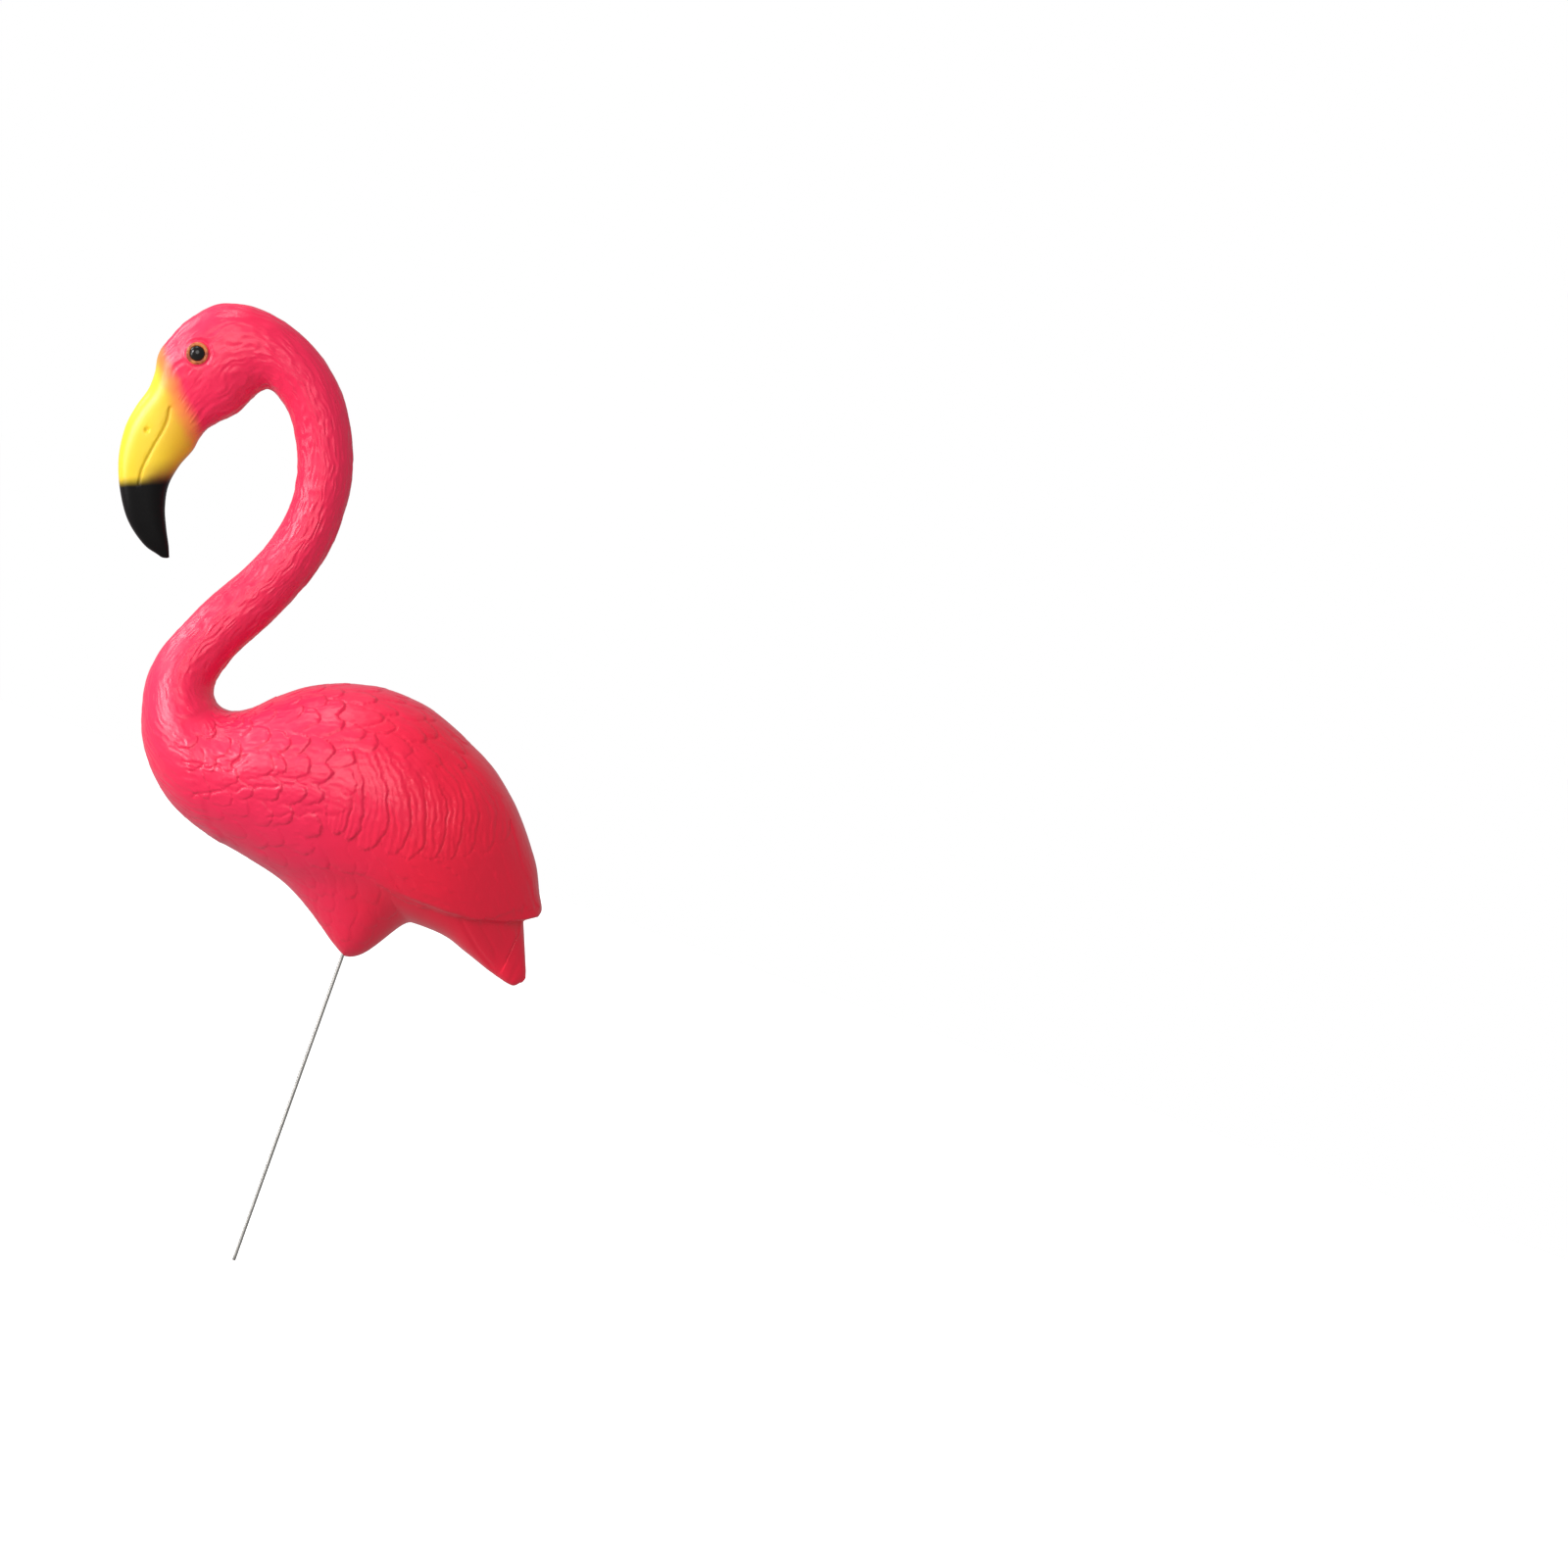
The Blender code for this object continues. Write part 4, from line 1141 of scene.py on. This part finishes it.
def skin_material(eye_centre):
    """Pink moulded plastic with the beak's and the eye rims' painted colours, and painted light
    and shade: paler pink in front, deeper pink to the rear, and darker yellow and brown on the
    beak's rear side.
    """
    n = Nodes("coral_moulding")
    place, split = n.place()
    cloud = n.sway(n.noise(place, scale=9.0, detail=4.0, rough=0.55), 0.8)
    # Painted light and shade: paler pink in front and deeper pink towards the tail, with random
    # tone from the noise on top.
    shade_and_tone = n.plus(n.ramp(split[0], *PINK_SHADE_SPAN), cloud)
    base = n.mix(n.ramp(shade_and_tone, 0.0, 1.0), PINK_LIT, PINK_SHADED)

    # On the beak pink turns orange and then yellow across one soft edge, and
    # yellow turns brown and black across another. The yellow darkens towards the
    # beak's rear side as painted shade, and the brown is kept to that side, partly
    # as painted shade.
    on_beak = n.ramp(split[0], *BEAK_ONLY)
    wobble = n.sway(n.noise(place, scale=70.0), 0.7)
    down = n.plus(far_along(n, split, *BEAK_EDGE), wobble)
    base = n.mix(n.times(n.ramp(down, *ORANGE_BAND), on_beak), base, ORANGE)
    # Painted shade: the yellow darkens across the beak towards its rear side.
    rear = far_along(n, split, *BEAK_ACROSS)
    yellow = n.mix(n.ramp(rear, *YELLOW_SHADE_SPAN), YELLOW, YELLOW_SHADED)
    base = n.mix(n.times(n.ramp(down, *YELLOW_BAND), on_beak), base, yellow)
    tip = n.plus(far_along(n, split, *TIP_EDGE), n.times(wobble, 0.4))
    # The brown blend before the black is kept to the rear side, which makes it partly painted
    # shade.
    brown = n.times(n.ramp(tip, *BROWN_BAND), n.ramp(split[0], *BROWN_SHADE_SIDE))
    base = n.mix(n.times(brown, on_beak), base, BROWN)
    tip_black = n.times(n.ramp(tip, *BLACK_BAND), on_beak)
    base = n.mix(tip_black, base, BLACK)

    ring = n.ramp(eye_distance(n, split, eye_centre), *RIM_END)
    patches = n.ramp(n.noise(place, scale=160.0), *PALER_RIM)
    base = n.mix(ring, base, n.mix(patches, EYE_RIM, EYE_RIM_PALE))
    n.feed("Base Color", base)

    cloudy = n.noise(place, scale=60.0, detail=3.0, rough=0.6)
    n.feed("Roughness", n.plus(n.times(cloudy, 0.14), 0.29))
    gloss = n.math("SUBTRACT", MOULDING_GLOSS, n.times(tip_black, TIP_DULLER))
    n.feed("Specular IOR Level", gloss)
    n.feed("Sheen Weight", 0.06)
    n.feed("Sheen Roughness", 0.45)
    n.feed("Sheen Tint", SHEEN_TINT)
    n.bump(n.noise(place, scale=420.0), strength=0.12, distance=0.0004)
    return n.material


def eye_material():
    """Glossy, nearly black paint."""
    n = Nodes("glossy_eye")
    place, _ = n.place()
    n.feed("Base Color", n.mix(n.noise(place, scale=300.0), EYE_BLACK, EYE_BROWN))
    n.feed("Roughness", 0.16)
    n.feed("Specular IOR Level", 0.35)
    return n.material


def steel_material():
    """Bare steel wire with faint lines along it."""
    n = Nodes("drawn_steel")
    place, _ = n.place()
    stretch = n.new("ShaderNodeMapping")
    stretch.inputs["Scale"].default_value = (900.0, 900.0, 25.0)
    n.put(place, stretch.inputs["Vector"])
    streak = n.noise(stretch.outputs[0], scale=1.0, detail=3.0, rough=0.6)
    n.feed("Base Color", n.mix(streak, STEEL, STEEL_PALE))
    n.feed("Roughness", n.plus(n.times(streak, 0.25), 0.28))
    n.feed("Metallic", 1.0)
    n.bump(streak, strength=0.2, distance=0.0002)
    return n.material


def glowing(name, grey, glow):
    """A plain matt surface that also glows white."""
    n = Nodes(name)
    place, _ = n.place()
    spread = n.plus(n.times(n.noise(place, scale=0.6), 0.02), grey - 0.01)
    colour = n.new("ShaderNodeCombineColor")
    for socket in colour.inputs[:3]:
        n.put(n.math("MAXIMUM", spread, 0.0), socket)
    n.feed("Base Color", colour.outputs[0])
    n.feed("Roughness", 0.9)
    n.feed("Specular IOR Level", 0.0)
    n.feed("Emission Color", WHITE)
    n.feed("Emission Strength", glow)
    return n.material


def turned_mesh(name, profile, sides):
    """A closed turned solid from its radius and height pairs, ends on the axis."""
    bm = bmesh.new()
    rings = []
    for r, z in profile[1:-1]:
        angles = [2 * math.pi * k / sides for k in range(sides)]
        rings.append([bm.verts.new((r * math.cos(a), r * math.sin(a), z)) for a in angles])
    low = bm.verts.new((0, 0, profile[0][1]))
    high = bm.verts.new((0, 0, profile[-1][1]))
    for k in range(sides):
        n = (k + 1) % sides
        bm.faces.new((low, rings[0][n], rings[0][k]))
        for a, b in zip(rings[:-1], rings[1:]):
            bm.faces.new((a[k], a[n], b[n], b[k]))
        bm.faces.new((rings[-1][k], rings[-1][n], high))
    return finish_mesh(bm, bpy.data.meshes.new(name))


def eye_profile():
    """Radius and height pairs of an eye: its seated part and its dome."""
    r = EYE_DIAMETER / 2
    bevel = 0.0006
    profile = [(0.0, -EYE_SEAT), (r - bevel, -EYE_SEAT), (r, -EYE_SEAT + bevel), (r, -0.0005)]
    steps = 14
    for i in range(1, steps):
        turn = i / steps * math.pi / 2
        profile.append((r * math.cos(turn), EYE_DOME * math.sin(turn)))
    profile.append((0.0, EYE_DOME))
    return profile


def stake_profile():
    """Radius and height pairs of the wire, slightly uneven as drawn wire is."""
    r = STAKE_DIAMETER / 2
    top = STAKE_SHOWING + STAKE_PLUGGED
    uneven = 0.00006
    profile = [
        (0.0, 0.0),
        (r - STAKE_CHAMFER, 0.0),
        (r - 0.0001, STAKE_CHAMFER * 0.6),
        (r, STAKE_CHAMFER * 1.4),
    ]
    chance = np.random.default_rng(3)
    for z in np.linspace(0.004, top - 0.003, 120):
        profile.append((r - uneven * float(chance.random()), float(z)))
    profile += [(r, top - STAKE_CHAMFER), (r - STAKE_CHAMFER, top), (0.0, top)]
    return profile


def white_floor():
    """A round white floor just under the stake's end."""
    bm = bmesh.new()
    bmesh.ops.create_circle(bm, cap_ends=True, segments=96, radius=STAGE_RADIUS)
    bmesh.ops.translate(bm, verts=bm.verts, vec=(0, 0, -FLOOR_DROP))
    floor = add_object("floor", finish_mesh(bm, bpy.data.meshes.new("floor"), smooth=False))
    floor.data.materials.append(glowing("pale_floor", FLOOR_GREY, FLOOR_GLOW))
    return floor


def white_shell():
    """A white shell round everything."""
    bm = bmesh.new()
    bmesh.ops.create_uvsphere(bm, u_segments=48, v_segments=24, radius=STAGE_RADIUS)
    shell = add_object("backdrop", finish_mesh(bm, bpy.data.meshes.new("backdrop")))
    shell.data.materials.append(glowing("white_backdrop", SHELL_GREY, SHELL_GLOW))
    return shell


def rolled_camera():
    """A far camera that looks along Y at the photograph's middle."""
    aside = PHOTO_SIZE / 2 - STUMP_PIXEL[0]
    down = PHOTO_SIZE / 2 - STUMP_PIXEL[1]
    cos = math.cos(PHOTO_ROLL)
    sin = math.sin(PHOTO_ROLL)
    scale = PHOTO_MM_PER_PIXEL / 1000
    look_x = (aside * cos + down * sin) * scale
    look_z = (aside * sin - down * cos) * scale + STAKE_SHOWING
    distance = PHOTO_SIZE * scale * LENS / SENSOR
    data = bpy.data.cameras.new("camera")
    data.lens = LENS
    data.sensor_width = SENSOR
    data.clip_end = CAMERA_RANGE
    camera = add_object("camera", data)
    right = Vector((cos, 0, sin))
    up = Vector((-sin, 0, cos))
    back = right.cross(up)
    turn = Matrix((right, up, back)).transposed().to_4x4()
    camera.matrix_world = Matrix.Translation((look_x, -distance, look_z)) @ turn
    return camera


def soft_light(name, place, size, power, colour):
    """A round lamp aimed at the bird."""
    data = bpy.data.lights.new(name, "AREA")
    data.shape = "DISK"
    data.size = size
    data.energy = power
    data.color = colour
    lamp = add_object(name, data)
    lamp.location = place
    aim = Vector(LAMP_AIM) - Vector(place)
    lamp.rotation_euler = aim.to_track_quat("-Z", "Y").to_euler()


def studio_world():
    """White light from all round, stronger from in front of the bird."""
    world = bpy.data.worlds.new("studio")
    world.use_nodes = True
    tree = world.node_tree
    ray = tree.nodes.new("ShaderNodeTexCoord")
    split = tree.nodes.new("ShaderNodeSeparateXYZ")
    level = tree.nodes.new("ShaderNodeMapRange")
    tree.links.new(ray.outputs["Generated"], split.inputs[0])
    tree.links.new(split.outputs[0], level.inputs["Value"])
    ends = ("From Min", "From Max", "To Min", "To Max")
    for name, value in zip(ends, SKY_X + SKY_LIGHT):
        level.inputs[name].default_value = value
    background = tree.nodes["Background"]
    background.inputs[0].default_value = (*WHITE, 1.0)
    tree.links.new(level.outputs[0], background.inputs[1])
    return world


# The bird.
guide = Guide()
centre, axis = eye_frame(guide)
rings = fine_skin(guide) * UNIT + np.array((0, 0, STAKE_SHOWING))
skin = add_object("flamingo_skin", skin_mesh("flamingo_skin", rings))
reduce_faces(skin, SKIN_TRIANGLES)
skin.data.materials.append(skin_material(centre))
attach(skin, "root")
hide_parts("flamingo")

gloss = eye_material()
for node, side in (("eye_left", 1), ("eye_right", -1)):
    eye = add_object(node + "_dome", turned_mesh(node + "_dome", eye_profile(), 64))
    look = Vector((axis[0], axis[1] * side, axis[2]))
    turn = look.to_track_quat("Z", "Y").to_matrix().to_4x4()
    eye.matrix_world = Matrix.Translation(to_world(centre * np.array((1, side, 1)))) @ turn
    eye.data.materials.append(gloss)
    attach(eye, "root")
    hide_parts(node)

wire = add_object("stake_wire", turned_mesh("stake_wire", stake_profile(), 32))
wire.data.materials.append(steel_material())
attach(wire, "root")
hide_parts("stake")

# A white floor, and a white shell around it all that only the camera sees.
floor = white_floor()
shell = white_shell()
for thing in (floor, shell):
    thing.visible_diffuse = False
    thing.visible_glossy = False
    thing.visible_transmission = False
shell.visible_shadow = False

bpy.context.scene.camera = rolled_camera()
for name, place, size, power, colour in LAMPS:
    soft_light(name, place, size, power, colour)
bpy.context.scene.world = studio_world()
bpy.context.scene.view_settings.view_transform = "Standard"
